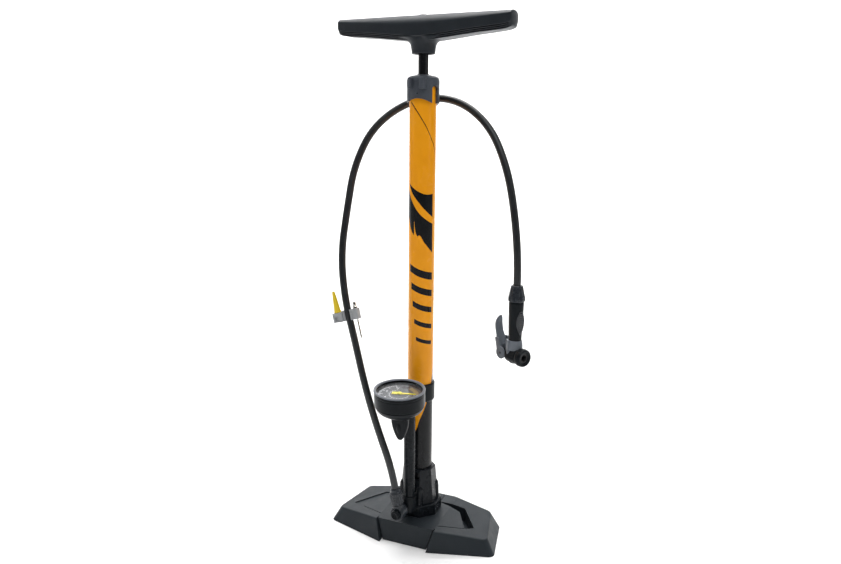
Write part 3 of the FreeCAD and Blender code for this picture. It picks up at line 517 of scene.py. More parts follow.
# ------------------------------------------------------------------ materials of the CAD pieces that stay
KEEP = {
    "base_plate": M_BASE, "base_end_left": M_BASE, "base_end_right": M_BASE, "barrel_socket": M_SOCKET,
    "foot_pads": M_RUBBER, "base_screws": M_STEEL, "barrel_tube": M_BARREL, "barrel_end_plug": M_NYLON,
    "plug_seal": M_RUBBER, "check_valve_poppet": M_NYLON, "check_valve_spring": M_STEEL, "air_manifold": M_BODY,
    "air_tube": M_TUBE, "gauge_bracket": M_BODY, "bracket_screw": M_STEEL, "top_cap": M_CAP, "rod_bushing": M_NYLON,
    "rod_wiper": M_RUBBER, "bump_stop": M_RUBBER, "cap_screw": M_BODY, "hose_hook": M_CAP, "piston_head": M_NYLON,
    "piston_cup_seal": M_RUBBER, "piston_rod": M_ROD, "piston_nut": M_STEEL, "handle_bolt": M_STEEL,
    "handle_plug": M_HANDLE, "gauge_movement": M_BRASS, "gauge_case": M_BODY, "gauge_bezel": M_BEZEL, "gauge_dial": M_DIAL,
    "gauge_lens": M_LENS, "gauge_needle": M_NEEDLE, "swivel_elbow": M_COLLAR, "elbow_bolt": M_BODY, "hose_nut": M_COLLAR,
    "handle": M_HANDLE, "head_collar": M_COLLAR, "head_body": M_BODY, "head_grip": M_GRIP, "head_lever": M_LEVER,
    "lever_pin": M_PIN, "nozzle_ring": M_BODY, "nozzle_grommet": M_RUBBER, "head_plunger": M_NYLON,
    "accessory_clip": M_CLIP, "inflation_cone": M_CONE, "ball_needle": M_NICKEL, "hose": M_HOSE,
}
for name, ob in NODES.items():
    m = KEEP[name]
    if ob.material_slots:
        for s in ob.material_slots:
            s.material = m
    else:
        ob.data.materials.append(m)

# PIECES
# ------------------------------------------------------------------ pump head
TURN = R(-32)
XL = Vector((math.cos(TURN), math.sin(TURN), 0))
YL = Vector((-math.sin(TURN), math.cos(TURN), 0))
HEAD = Vector((HEAD_X, HEAD_Y, 0))
HN = Vector((HEAD_X, HEAD_Y, 255.0))


def facet(n, depth=1.0):
    """Flats around a turned shape, blended by depth."""
    def w(a, r, h):
        k = 2 * math.pi / n
        flat = math.cos(k / 2) / math.cos((a % k) - k / 2)
        return r * (1 - depth + depth * flat)
    return w


def collar_wob(a, r, h):
    if r < 5.5:
        return r
    k = 2 * math.pi / 10
    flat = math.cos(k / 2) / math.cos((a % k) - k / 2)
    on = max(0.0, min(1.0, (337.6 - h) / 1.2)) * max(0.0, min(1.0, (h - 321.9) / 0.8))
    groove = 0.35 * max(0.0, 1 - abs((a % k) - k / 2) / 0.05) if 324.5 < h < 336 else 0
    return r * (1 - on + on * flat) - groove


collar = lathe("head_collar_v", soften([(4.6, 321.2), (9.6, 321.2), (10.2, 322.0), (10.4, 323.2), (10.3, 324.6), (10.0, 326.4), (9.3, 329.5),
                                (8.55, 332.8), (7.9, 335.9), (7.5, 337.4), (7.3, 338.2), (6.9, 339.4), (6.2, 339.95),
                                (4.6, 339.95)], 0.25, 2, True),
               M_COLLAR, "pump_body", at=HEAD, x=XL, seg=160, closed=True, wob=collar_wob, nodes=("head_collar",),
               slot="black_plastic", sharp=38)

bm = bmesh.new()
lathe_into(bm, frame_mat(HEAD, (0, 0, 1), XL),
           soften([(0, 245.6), (5.4, 245.6), (7.7, 248.0), (7.9, 258), (8.0, 268), (7.75, 276), (8.1, 284), (8.6, 298), (8.9, 310), (9.0, 318.6), (8.7, 320.9),
                   (0, 320.9)], 1.0, 3), 96)
lathe_into(bm, frame_mat(HN, XL, (0, 0, 1)),
           soften([(3.65, -8.2), (8.3, -8.2), (9.8, -6.8), (9.8, 8.2), (9.2, 9.0), (9.2, 9.6), (7.7, 9.6), (7.7, 7.0), (3.65, 7.0)], 0.5, 3,
                  True), 96, closed=True)
side_fr = lambda y: frame_mat(HN + YL * y, YL, XL)
for y0 in (-6.0, 3.1):
    lug = soften([(-20.0, -5.6), (-14.0, -6.4), (-6.0, -6.4), (-6.0, 4.0), (-14.0, 4.6), (-20.0, 3.6)], [3.4, 1, 0.1, 0.1, 1.5, 3.4], 5, True)
    prism_into(bm, side_fr(y0), lug, 0, 2.9)
head_body = finish_mesh("head_body_v", bm, M_BODY, "pump_body", nodes=("head_body",), slot="black_plastic", sharp=35)

# pale saddle between stem and nozzle, with a rounded tongue towards the lever
bm = bmesh.new()
lathe_into(bm, frame_mat(HEAD, (0, 0, 1), XL),
           soften([(7.0, 262.0), (9.0, 262.0), (9.5, 263.4), (9.4, 267.0), (9.0, 270.6), (8.6, 272.6), (8.2, 274.0), (7.0, 274.0)], 0.5, 3, True),
           96, closed=True)
tongue = soften([(-4.2, -19.0), (4.2, -19.0), (4.2, -5.5), (2.8, -2.2), (-2.8, -2.2), (-4.2, -5.5)], [0.6, 0.6, 2.4, 2.4, 2.4, 2.4], 5, True)
front = (XL * math.cos(R(118)) - YL * math.sin(R(118))).normalized()
tang = Vector((0, 0, 1)).cross(front)
prism_into(bm, frame_mat(HN + front * 7.0, front, tang), [(p[0], -p[1]) for p in tongue], 0, 2.9)
saddle = finish_mesh("head_saddle_v", bm, M_HEAD_LIGHT, "pump_body", bevel=0.35, slot="lever_plastic", sharp=35)

# ribbed lens-shaped grip
bm = bmesh.new()
lens = []
for i in range(24):
    t = -1 + 2 * i / 24
    lens.append((5.3 * (1 - abs(t) ** 2.2), 297 + 16.0 * t))
lens = lens + [(-w, z) for w, z in reversed(lens[1:])] + []
grip_fr = frame_mat(HEAD + XL * 0, XL, YL)
zs = [p[1] for p in lens]
# local axes of this frame: x along YL, y upward, z outward along XL
pts = [(w, z) for w, z in lens]
prism_into(bm, grip_fr, pts, 6.6, 8.75)
for i in range(10):
    z = 284.6 + 2.75 * i
    w = 5.3 * (1 - abs((z - 297) / 16.0) ** 2.2) - 0.55
    if w < 0.8:
        continue
    prism_into(bm, grip_fr, soften([(-w, z - 0.75), (w, z - 0.75), (w, z + 0.75), (-w, z + 0.75)], 0.5, 3, True), 8.5, 9.75)
grip = finish_mesh("head_grip_v", bm, M_GRIP, "pump_body", bevel=0.25, nodes=("head_grip",), slot="seal_rubber", sharp=35)


def ring_wob(a, r, h):
    return r - (0.28 * max(0.0, math.cos(22 * a)) if (r > 10.3 and 10.6 < h < 16.2) else 0.0)


nozzle = lathe("nozzle_ring_v", soften([(7.7, 9.75), (9.8, 9.75), (10.4, 10.4), (10.8, 11.6), (10.8, 13.5), (10.8, 15.2), (10.3, 16.8), (9.5, 17.9),
                                        (8.3, 18.0), (7.7, 17.5), (6.2, 17.25), (5.7, 16.7), (5.7, 15.1), (7.7, 15.1)], 0.35, 3, True),
               M_BODY, "pump_body", at=HN, z=XL, x=(0, 0, 1), seg=176, closed=True, wob=ring_wob, nodes=("nozzle_ring",),
               slot="black_plastic", sharp=38)

# thumb lever: a dished leaf on two round cheeks
bm = bmesh.new()
rows = []
for z, xc, t, w in ((262.0, -20.4, 4.6, 7.6), (265.0, -21.8, 5.2, 7.6), (269.0, -23.6, 5.4, 7.0), (274.0, -25.4, 5.2, 6.0), (278.6, -27.3, 5.0, 5.5), (283.0, -28.4, 4.9, 5.5), (287.6, -28.9, 4.7, 5.4),
                    (291.2, -28.6, 4.3, 5.0), (294.2, -27.8, 3.6, 4.1), (296.4, -26.9, 2.7, 3.0), (297.9, -26.2, 1.7, 1.9), (298.5, -25.8, 0.6, 0.9)):
    ring = []
    n = 40
    for i in range(n):
        a = 2 * math.pi * i / n
        ca, sa = math.cos(a), math.sin(a)
        lx = xc + math.copysign(abs(ca) ** 0.6, ca) * t / 2
        ly = math.copysign(abs(sa) ** 0.75, sa) * w
        if ca < 0:
            lx += 0.8 * max(0.0, 1 - (ly / max(w, 0.1)) ** 2) * (1 if 276 < z < 295 else 0.2)
        p = HEAD + XL * lx + YL * ly
        ring.append((p.x, p.y, z))
    rows.append(ring)
loft_into(bm, rows)
for y0 in (-8.5, 6.4):
    sgn = -1 if y0 < 0 else 1
    fr = frame_mat(HN + XL * -16.0, YL, XL)
    lo, hi = y0, y0 + 2.1
    prof = [(0, lo), (7.0, lo), (7.5, lo + 0.4), (7.5, hi - 0.4), (7.0, hi), (0, hi)]
    lathe_into(bm, fr, prof, 64)
    yy = hi if sgn > 0 else lo
    prism_into(bm, side_fr(lo + 0.1), soften([(-26.2, -17.5), (-20.4, -17.5), (-16.8, -8.0), (-10.2, -3.0), (-10.2, 1.0), (-21.8, 1.0), (-23.2, -6.0)],
                                             [1.5, 1.5, 2, 1.5, 0.1, 0.1, 1.5], 4, True), 0, 1.9)
lathe_into(bm, frame_mat(HN + XL * -16.0 + Vector((0, 0, -1.6)), YL, XL), [(0, -2.65), (5.0, -2.65), (5.4, -2.3), (5.4, 2.3), (5.0, 2.65), (0, 2.65)], 48)
prism_into(bm, side_fr(-2.6), soften([(-22.4, -10.0), (-18.2, -10.0), (-17.2, 2.0), (-20.4, 2.0)], 0.8, 3, True), 0, 5.2)
lever = finish_mesh("head_lever_v", bm, M_LEVER, "thumb_lever", nodes=("head_lever",), slot="lever_plastic", sharp=34)

pin = lathe("lever_pin_v", soften([(0, -8.75), (1.2, -8.75), (1.5, -8.45), (1.5, 8.45), (1.2, 8.75), (0, 8.75)], 0.2, 2), M_PIN, "pump_body",
            at=HN + XL * -16.0, z=YL, x=XL, seg=40, nodes=("lever_pin",), slot="steel")

# ------------------------------------------------------------------ accessory clip, cone and ball needle
C0 = Vector((-75.8, -47.5, 293.0))
CZ = Vector((-0.27, 0.09, 0.96)).normalized()
rot_c = Vector((0, 0, 1)).rotation_difference(CZ)
CX = rot_c @ Vector((1, 0, 0))
CY = rot_c @ Vector((0, 1, 0))
clip_fr = frame_mat(C0, CZ, CX)
bm = bmesh.new()
open_half = 32
outer = arc_pts(0, 0, 7.6, -90 + open_half + 8, 270 - open_half - 8, 40)
inner = arc_pts(0, 0, 4.68, 270 - open_half - 14, -90 + open_half + 14, 36)
prism_into(bm, clip_fr, outer + inner, -6.5, 6.5)
for z0 in (-6.5, 5.2):
    prism_into(bm, clip_fr, arc_pts(0, 0, 7.95, -40, 220, 36) + arc_pts(0, 0, 7.2, 220, -40, 36), z0, z0 + 1.3)
hold = soften([(-20.0, -6.0), (-6.6, -6.0), (-6.6, 6.0), (-20.0, 6.0)], [2.2, 0.3, 0.3, 2.2], 5, True)
hole = [(-14.5 + 2.08 * math.cos(2 * math.pi * i / 24), 2.08 * math.sin(2 * math.pi * i / 24)) for i in range(24)]
prism_into(bm, clip_fr, hold, -6.5, -5.0)
prism_into(bm, clip_fr, soften([(-20.0, -6.0), (-17.0, -6.0), (-17.0, 6.0), (-20.0, 6.0)], [2.2, 0.2, 0.2, 2.2], 4, True), -6.5, 5.0)
prism_into(bm, clip_fr, soften([(-11.9, -6.0), (-6.6, -6.0), (-6.6, 6.0), (-11.9, 6.0)], 0.3, 2, True), -6.5, 5.0)
prism_into(bm, clip_fr, [(-17.2, 2.4), (-11.8, 2.4), (-11.8, 6.0), (-17.2, 6.0)], -6.5, 5.0)
prism_into(bm, clip_fr, [(-17.2, -6.0), (-11.8, -6.0), (-11.8, -2.4), (-17.2, -2.4)], 0.8, 5.0)
prism_into(bm, clip_fr, [(-17.2, -4.4), (-11.8, -4.4), (-11.8, -2.4), (-17.2, -2.4)], -6.5, 0.8)
prism_into(bm, clip_fr, soften([(6.4, -4.5), (8.9, -4.5), (8.9, 4.5), (6.4, 4.5)], 0.3, 2, True), -6.5, 6.5)
prism_into(bm, clip_fr, soften([(12.3, -4.5), (14.0, -4.5), (14.0, 4.5), (12.3, 4.5)], [0.2, 1.4, 1.4, 0.2], 4, True), -6.5, 6.5)
prism_into(bm, clip_fr, [(8.8, 1.8), (12.4, 1.8), (12.4, 4.5), (8.8, 4.5)], -6.5, 6.5)
prism_into(bm, clip_fr, [(8.8, -4.5), (12.4, -4.5), (12.4, -1.8), (8.8, -1.8)], -6.5, 6.5)
clip = finish_mesh("accessory_clip_v", bm, M_CLIP, "pump_body", bevel=0.35, nodes=("accessory_clip",), slot="clip_grey", sharp=34)

cone = lathe("inflation_cone_v", soften([(0, -6.0), (1.6, -6.0), (2.0, -5.4), (2.0, 5.1), (4.4, 5.1), (4.6, 5.4), (4.6, 6.6), (4.3, 7.2), (4.15, 8.8), (3.9, 9.6),
                                         (3.75, 12.0), (2.55, 24.0), (2.1, 28.6), (1.75, 31.0), (1.3, 31.9), (0.7, 31.9), (0.6, 28.0), (0, 28.0)], 0.3, 3),
             M_CONE, "cone_adapter", at=C0 + CX * -14.5, z=CZ, x=CX, seg=64, nodes=("inflation_cone",), slot="cone_yellow",
             wob=lambda a, r, h: r - (0.18 * max(0.0, math.cos(10 * a)) if (r > 4.1 and h < 9) else 0), sharp=36)
needle = lathe("ball_needle_v", soften([(0, -31.0), (0.45, -31.0), (0.85, -30.2), (1.0, -29.2), (1.0, -8.2), (1.2, -7.0), (1.5, -6.0), (1.5, 6.6), (2.7, 6.6), (3.0, 6.9),
                                        (3.0, 8.7), (2.7, 9.0), (2.1, 9.3), (1.9, 10.2), (2.1, 11.0), (2.1, 14.2), (1.8, 14.6), (1.0, 14.6), (0.9, 11.0), (0, 11.0)],
                                       0.2, 3),
               M_NICKEL, "needle_adapter", at=C0 + CX * 10.6, z=CZ, x=CX, seg=72, nodes=("ball_needle",), slot="nickel",
               wob=lambda a, r, h: r - (0.16 * max(0.0, math.cos(18 * a)) if (r > 3.2 and 6.7 < h < 8.9) else 0), sharp=36)

# ------------------------------------------------------------------ swivel elbow and hose nut
D6 = Vector((math.sin(AZ), -math.cos(AZ), 0))
STUB = Vector((0, 0, 46.0))
bm = bmesh.new()
lathe_into(bm, frame_mat(STUB, D6, (0, 0, 1)),
           soften([(4.15, 45.4), (7.4, 45.4), (8.6, 46.5), (9.0, 48.5), (9.0, 58.0), (8.7, 59.6), (7.9, 60.4), (7.0, 60.4), (6.6, 59.7),
                   (4.15, 59.7)], 0.4, 3, True), 88, closed=True)
lathe_into(bm, frame_mat(KNUCKLE, UP, (1, 0, 0)),
           soften([(0, 3.0), (6.4, 3.0), (6.9, 6.5), (6.9, 10.6), (6.3, 11.4), (4.35, 11.4), (4.35, 14.4), (0, 14.4)], 0.4, 3), 72)
elbow = finish_mesh("swivel_elbow_v", bm, M_COLLAR, "pump_body", nodes=("swivel_elbow",), slot="black_plastic", sharp=36)
bolt = lathe("elbow_bolt_v", soften([(0, 63.4), (1.9, 63.4), (2.5, 63.8), (3.0, 64.5), (3.9, 65.0), (5.0, 65.0), (5.8, 64.3), (6.1, 63.0), (6.1, 61.0),
                                     (5.9, 60.6), (3.1, 60.6), (3.1, 52.2), (0, 52.2)], 0.25, 3), M_BODY, "pump_body", at=STUB, z=D6,
             x=(0, 0, 1), seg=72, nodes=("elbow_bolt",), slot="black_plastic", sharp=36)


def nut_wob(a, r, h):
    if r > 7.2 and 13.2 < h < 27.4:
        k = min(1.0, (h - 13.2) / 1.5, (27.4 - h) / 1.5)
        c = math.cos(15 * a)
        return r - 0.62 * k * (max(0.0, c) ** 0.6)
    return r


nut = lathe("hose_nut_v", soften([(4.62, 11.75), (6.9, 11.75), (7.4, 12.3), (7.7, 13.3), (7.7, 15.0), (7.7, 20.0), (7.7, 25.6), (7.7, 27.2), (7.3, 28.2), (6.5, 28.7),
                                  (6.2, 29.6), (5.8, 32.0), (5.3, 33.0), (4.62, 33.0)], 0.25, 2, True),
            M_COLLAR, "pump_body", at=KNUCKLE, z=UP, x=(1, 0, 0), seg=240, closed=True, wob=nut_wob, nodes=("hose_nut",),
            slot="black_plastic", sharp=40)

# ------------------------------------------------------------------ gauge
G0 = Vector((0, -66.0, 215.7))
TILT = R(3)
GN = Vector((0, -math.sin(TILT), math.cos(TILT)))
GX = Vector((1, 0, 0))
GY = GN.cross(GX)
g_fr = frame_mat(G0, GN, GX)
bm = bmesh.new()
lathe_into(bm, g_fr, soften([(0, -35.0), (8.8, -35.0), (9.8, -34.6), (15, -33.4), (21, -30.9), (25.6, -27.7), (28.0, -24.9), (29.2, -22.5), (29.8, -20.9),
                             (29.2, -20.4), (29.2, -19.7), (30.4, -19.2), (30.5, -18.4), (30.5, -16.2), (30.5, -7.2), (30.4, -6.0), (30.2, -5.4),
                             (28.7, -5.4), (28.65, -16.4), (24.0, -19.6), (0, -19.6)], 0.35, 3), 144)
rows = []
for z, w, d, yo in ((-26.5, 11.0, 4.4, 0), (-34, 11.2, 4.5, 0), (-44, 11.0, 4.5, 0), (-50, 9.9, 4.5, 0), (-55, 8.3, 4.4, 0), (-60, 6.3, 4.1, 0),
                    (-63.6, 4.4, 3.6, 0), (-65.8, 2.8, 2.8, 0), (-67.1, 0.9, 1.2, 0)):
    ring = []
    for i in range(48):
        a = 2 * math.pi * i / 48
        ca, sa = math.cos(a), math.sin(a)
        p = G0 + GX * (math.copysign(abs(ca) ** 0.62, ca) * w) + GY * (math.copysign(abs(sa) ** 0.62, sa) * d) + GN * z
        ring.append(tuple(p))
    rows.append(ring)
loft_into(bm, rows)
lathe_into(bm, frame_mat(G0, GN, GX), soften([(6, -38.4), (11.4, -38.4), (12.2, -37.4), (12.2, -35.8), (12.8, -34.2), (13.4, -33.0), (6, -33.0)], 0.4, 3, True),
           96, closed=True, wob=lambda a, r, h: r * (1 - 0.40 * math.sin(a) ** 2))
rows = []
for j in range(9):
    t = j / 8.0
    s = math.sin(math.pi * (0.08 + 0.84 * t))
    z = -42.5 - 16.0 * t
    ring = []
    for i in range(28):
        a = 2 * math.pi * i / 28
        p = G0 + GX * (3.6 * s * math.cos(a)) + GY * (-3.4 + 2.2 * s * math.sin(a)) + GN * z
        ring.append(tuple(p))
    rows.append(ring)
loft_into(bm, rows)
case = finish_mesh("gauge_case_v", bm, M_BODY, "pump_body", nodes=("gauge_case",), slot="black_plastic", sharp=36)

bezel = lathe("gauge_bezel_v", soften([(28.55, -1.5), (30.5, -1.9), (31.0, -1.6), (31.0, -0.9), (30.7, -0.25), (30.1, 0.0), (29.2, 0.0),
                                       (28.3, -0.35), (27.6, -1.2), (27.5, -1.9)], 0.25, 3, True),
              M_BEZEL, "pump_body", at=G0, z=GN, x=GX, seg=160, closed=True, nodes=("gauge_bezel",), slot="bezel_plastic", sharp=40)
rim_low = lathe("gauge_bezel_side_v", soften([(28.75, -5.3), (30.2, -5.3), (30.6, -4.9), (30.6, -2.3), (30.3, -1.95), (28.75, -1.95)], 0.25, 3, True),
                M_BODY, "pump_body", at=G0, z=GN, x=GX, seg=160, closed=True, slot="bezel_plastic", sharp=40)
inner = lathe("gauge_inner_ring_v", soften([(25.5, -7.5), (28.2, -7.5), (28.2, -4.7), (27.9, -4.7), (26.9, -5.9)], 0.25, 3, True),
              M_RING, "pump_body", at=G0, z=GN, x=GX, seg=128, closed=True, slot="black_plastic")

bm = bmesh.new()
lathe_into(bm, g_fr, [(1.5, -8.35), (28.2, -8.35), (28.3, -8.2), (28.3, -7.75), (28.0, -7.65), (22.0, -7.65), (14.0, -7.65), (1.5, -7.65)], 128, closed=True)


def tick(a, r0, r1, w, mi):
    ca, sa = math.cos(R(a)), math.sin(R(a))
    q = [(r0, -w / 2), (r1, -w / 2), (r1, w / 2), (r0, w / 2)]
    prism_into(bm, g_fr, [(x * ca - y * sa, x * sa + y * ca) for x, y in q], -7.68, -7.58, mi)


def band(a0, a1, r0, r1, mi, z0=-7.68, z1=-7.59):
    n = max(4, int(abs(a1 - a0) / 4))
    prism_into(bm, g_fr, arc_pts(0, 0, r1, a0, a1, n) + arc_pts(0, 0, r0, a1, a0, n), z0, z1, mi)


for k in range(51):
    a = 12 - 5 * k
    if k % 5 == 0:
        tick(a, 20.4, 24.9, 0.62, 1)
    else:
        tick(a, 22.9, 24.9, 0.32, 1)
for k in range(17):
    tick(12 - 15.6 * k, 12.2, 14.0 if k % 4 else 15.0, 0.34, 1)
band(12, -238, 24.9, 25.25, 1)
band(12, -238, 11.8, 12.1, 1)
band(16, 74, 17.0, 22.6, 2)
band(78, 104, 17.0, 22.6, 3)


def digits(text, at, size, mi):
    cu = bpy.data.curves.new("num", "FONT")
    cu.body = text
    cu.size = size
    cu.align_x, cu.align_y = "CENTER", "CENTER"
    cu.extrude = 0.02
    cu.offset = 0.02
    ob = bpy.data.objects.new("num", cu)
    scene.collection.objects.link(ob)
    me = bpy.data.meshes.new_from_object(ob.evaluated_get(bpy.context.evaluated_depsgraph_get()))
    fr = g_fr @ Matrix.Translation((at[0], at[1], -7.6))
    vs = [bm.verts.new(fr @ v.co) for v in me.vertices]
    for p in me.polygons:
        try:
            bm.faces.new([vs[i] for i in p.vertices]).material_index = mi
        except ValueError:
            pass
    bpy.data.objects.remove(ob)
    bpy.data.curves.remove(cu)
    bpy.data.meshes.remove(me)


for k in range(0, 11, 2):
    a = R(12 - 25 * k)
    digits(str(k), (17.8 * math.cos(a), 17.8 * math.sin(a)), 4.6, 1)
dial = finish_mesh("gauge_dial_v", bm, [M_DIAL, M_INK, M_AMBER, M_DARK_INK], "pump_body", nodes=("gauge_dial",), slot="dial_print", smooth=False)

bm = bmesh.new()
pc, ps = math.cos(R(12)), math.sin(R(12))
PX = GX * pc + GY * ps
p_fr = frame_mat(G0, GN, PX)
prism_into(bm, p_fr, soften([(-9.2, -3.0), (-2.4, -3.2), (1.5, -1.9), (19.0, -0.5), (19.6, 0), (19.0, 0.5), (1.5, 1.9), (-2.4, 3.2), (-9.2, 3.0)],
                            [0.8, 0.8, 1, 0.2, 0.1, 0.2, 1, 0.8, 0.8], 3, True), -6.95, -6.25)
lathe_into(bm, p_fr, soften([(0, -17.4), (0.8, -17.4), (0.8, -7.0), (3.0, -7.0), (3.0, -5.9), (2.5, -5.3), (1.2, -5.0), (0, -5.0)], 0.2, 3), 48)
hand = finish_mesh("gauge_needle_v", bm, M_NEEDLE, "gauge_hand", bevel=0.12, nodes=("gauge_needle",), slot="needle_yellow", sharp=34)

# ------------------------------------------------------------------ handle
HH, HT, PSI = 109.5, 642.5, R(-5)
HX = Vector((math.cos(PSI), math.sin(PSI), 0))
HY = Vector((-math.sin(PSI), math.cos(PSI), 0))
KEYS = [(-1.0, 11.6, 3.6, 17.0), (-0.93, 12.4, 4.2, 19.6), (-0.6, 15.2, 7.0, 22.8), (-0.25, 17.0, 9.2, 26.8), (0.0, 17.4, 9.8, 29.0),
        (0.25, 17.0, 9.2, 26.8), (0.6, 15.2, 7.0, 22.8), (0.93, 12.4, 4.2, 19.6), (1.0, 11.6, 3.6, 17.0)]


def key_at(u):
    for i in range(len(KEYS) - 1):
        a, b = KEYS[i], KEYS[i + 1]
        if u <= b[0] + 1e-9:
            t = (u - a[0]) / (b[0] - a[0])
            p = KEYS[max(0, i - 1)]
            q = KEYS[min(len(KEYS) - 1, i + 2)]
            out = []
            for k in (1, 2, 3):
                m0 = (b[k] - p[k]) / (b[0] - p[0]) * (b[0] - a[0]) if i > 0 else b[k] - a[k]
                m1 = (q[k] - a[k]) / (q[0] - a[0]) * (b[0] - a[0]) if i < len(KEYS) - 2 else b[k] - a[k]
                h = ((2 * t ** 3 - 3 * t ** 2 + 1) * a[k] + (t ** 3 - 2 * t ** 2 + t) * m0 + (-2 * t ** 3 + 3 * t ** 2) * b[k] +
                     (t ** 3 - t ** 2) * m1)
                out.append(h)
            return out
    return KEYS[-1][1:]


def handle_ring(u, inset=0.0):
    half, crown, high = key_at(max(-1.0, min(1.0, u)))
    low = HT - high
    g = max(0.0, min(1.0, (abs(u) - 0.16) / 0.08)) * max(0.0, min(1.0, (0.985 - abs(u)) / 0.03))
    right = [(half * 0.24, HT), (half * 0.50, HT - crown * 0.10), (half * 0.72, HT - crown * 0.34), (half * 0.88, HT - crown * 0.66),
             (half * 0.965, HT - crown * 0.90), (half * 0.995, HT - crown * 1.04), (half, HT - crown * 1.15 - 0.4)]
    a, b = Vector((half, low + 5.6)), Vector((half * 0.70, low))
    n = Vector((b.y - a.y, -(b.x - a.x))).normalized()
    if n.x > 0:
        n = -n
    right.append((half, (HT - crown + low + 5.6) / 2))
    right.append(tuple(a))
    for k in range(3):
        t0 = 0.10 + 0.30 * k
        for t, d in ((t0, 0), (t0 + 0.04, 1.5), (t0 + 0.14, 1.5), (t0 + 0.18, 0)):
            q = a.lerp(b, t) + n * (d * g)
            right.append((q.x, q.y))
    right.append(tuple(b))
    right.append((half * 0.30, low + 0.2))
    pts = right + [(-y, z) for y, z in reversed(right)]
    if inset:
        cz = HT - high / 2
        pts = [(y * (1 - inset / half), cz + (z - cz) * (1 - inset / (high / 2))) for y, z in pts]
    x = u * HH
    return [tuple(HX * x + HY * y + Vector((0, 0, z))) for y, z in pts]


bm = bmesh.new()
us = [-0.9985 + 0] + [-0.992, -0.98, -0.965, -0.945, -0.92] + [-0.9 + 0.02 * i for i in range(1, 90)] + [0.92, 0.945, 0.965, 0.98, 0.992, 0.9985]
rings = [handle_ring(-1.0, 1.1), handle_ring(-0.9975, 0.45)] + [handle_ring(u) for u in us[1:-1]] + [handle_ring(0.9975, 0.45), handle_ring(1.0, 1.1)]
loft_into(bm, rings)
NX = {599: 13.2, 602: 13.7, 606.5: 14.3, 610: 15.0, 612: 16.0, 614: 18.6, 615.6: 22.0, 617: 27.0, 618.4: 34.0}


def neck_wob(a, r, h):
    if r < 12.2:
        return r
    hs = sorted(NX)
    wide = NX[hs[-1]]
    for lo, hi in zip(hs, hs[1:]):
        if h <= hi:
            wide = NX[lo] + (NX[hi] - NX[lo]) * (h - lo) / (hi - lo)
            break
    k = wide / r
    return r * (1 + (k - 1) * abs(math.cos(a)) ** 2.2) if k > 1 else r


lathe_into(bm, frame_mat((0, 0, 0), (0, 0, 1), HX),
           soften([(11.4, 612.0), (11.4, 601.0), (11.8, 600.2), (13.0, 600.0), (13.5, 600.8), (13.7, 602.0), (13.95, 604.5), (14.3, 606.5), (14.8, 609.0), (15.2, 611.0),
                   (15.6, 612.5), (15.9, 613.7), (16.1, 614.8), (16.2, 616.0), (16.2, 617.2), (16.2, 618.4), (6.2, 618.4), (6.2, 612.0)], 0.25, 2, True),
           120, closed=True, wob=neck_wob)
for k in range(4):
    a = R(45 + 90 * k)
    d = Vector((math.cos(a), math.sin(a), 0))
    prism_into(bm, frame_mat((0, 0, 602.0), (0, 0, 1), d), [(6.6, -1.1), (11.6, -1.1), (11.6, 1.1), (6.6, 1.1)], 0, 10.5)
handle = finish_mesh("handle_v", bm, M_HANDLE, "rod_and_handle", nodes=("handle",), slot="handle_plastic", sharp=30)
# END PIECES

# ------------------------------------------------------------------ studio
WORLD_LOW, WORLD_TOP, WORLD_BACK = 0.07, 0.55, 0.10


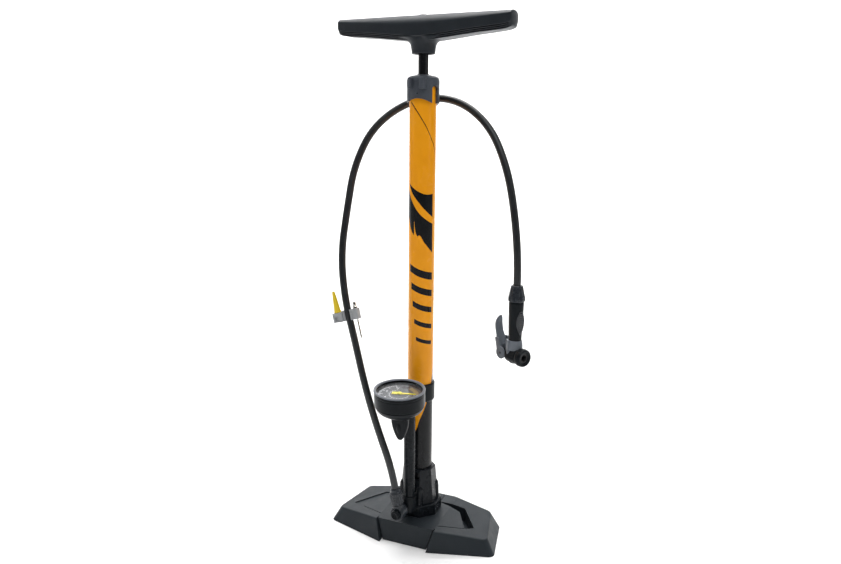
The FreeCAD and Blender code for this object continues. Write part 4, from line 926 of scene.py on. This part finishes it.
def studio():
    bm = bmesh.new()
    v = []
    prof = [(-3.0, 0.0), (2.2, 0.0)] + [(2.2 + 1.2 * math.sin(R(9 * i)), 1.2 - 1.2 * math.cos(R(9 * i))) for i in range(1, 11)] + [(3.4, 5.0)]
    rows = []
    for y, z in prof:
        rows.append([bm.verts.new((x, y, z - 0.0002)) for x in (-5.0, 5.0)])
    for a, b in zip(rows, rows[1:]):
        bm.faces.new((a[0], a[1], b[1], b[0]))
    bmesh.ops.recalc_face_normals(bm, faces=bm.faces)
    me = bpy.data.meshes.new("studio_floor")
    bm.to_mesh(me)
    bm.free()
    for p in me.polygons:
        p.use_smooth = True
    ob = bpy.data.objects.new("studio_floor", me)
    scene.collection.objects.link(ob)
    m = bpy.data.materials.new("studio_white")
    m.use_nodes = True
    b = m.node_tree.nodes["Principled BSDF"]
    b.inputs["Base Color"].default_value = (0.92, 0.92, 0.92, 1)
    b.inputs["Roughness"].default_value = 0.9
    me.materials.append(m)
    w = bpy.data.worlds.new("studio_world")
    scene.world = w
    w.use_nodes = True
    t = w.node_tree
    bg = t.nodes["Background"]
    # a dim room with a pale wall behind the object and a soft ceiling
    co = t.nodes.new("ShaderNodeTexCoord")
    sep = t.nodes.new("ShaderNodeSeparateXYZ")
    t.links.new(co.outputs["Generated"], sep.inputs[0])

    def ramp(sock, lo, hi, a, b):
        k = t.nodes.new("ShaderNodeMapRange")
        k.interpolation_type = "SMOOTHSTEP"
        for nm, v in (("From Min", lo), ("From Max", hi), ("To Min", a), ("To Max", b)):
            k.inputs[nm].default_value = v
        t.links.new(sock, k.inputs["Value"])
        return k.outputs["Result"]

    back = ramp(sep.outputs[1], 0.30, 0.75, 0.0, WORLD_BACK)
    top = ramp(sep.outputs[2], 0.25, 0.95, WORLD_LOW, WORLD_TOP)
    add = t.nodes.new("ShaderNodeMath")
    add.operation = "ADD"
    t.links.new(back, add.inputs[0])
    t.links.new(top, add.inputs[1])
    t.links.new(add.outputs[0], bg.inputs["Strength"])
    bg.inputs["Color"].default_value = (1, 1, 1, 1)

    def area(name, loc, aim, size, power, col=(1, 1, 1)):
        d = bpy.data.lights.new(name, "AREA")
        d.shape = "RECTANGLE"
        d.size, d.size_y = size
        d.energy = power
        d.color = col
        o = bpy.data.objects.new(name, d)
        scene.collection.objects.link(o)
        o.location = loc
        o.rotation_euler = (Vector(aim) - Vector(loc)).to_track_quat("-Z", "Y").to_euler()

    turn = Matrix.Rotation(R(21.85), 4, "Z")
    ob.matrix_world = turn
    area("key", (0.75, -1.0, 1.9), (0, 0, 0.3), (0.9, 0.9), 9)
    area("left_strip", (-1.3, -0.5, 1.0), (0, 0, 0.35), (0.16, 1.2), 2.2)
    area("right_strip", (1.3, -0.1, 0.9), (0, 0, 0.35), (0.10, 1.2), 1.6)
    area("top", (-0.2, 0.25, 2.1), (0, 0, 0.2), (1.3, 1.3), 30)
    area("wall", turn @ Vector((0.0, 1.7, 2.8)), turn @ Vector((0, 3.3, 0.9)), (4.5, 0.8), 150)


studio()
scene.view_settings.view_transform = "Standard"
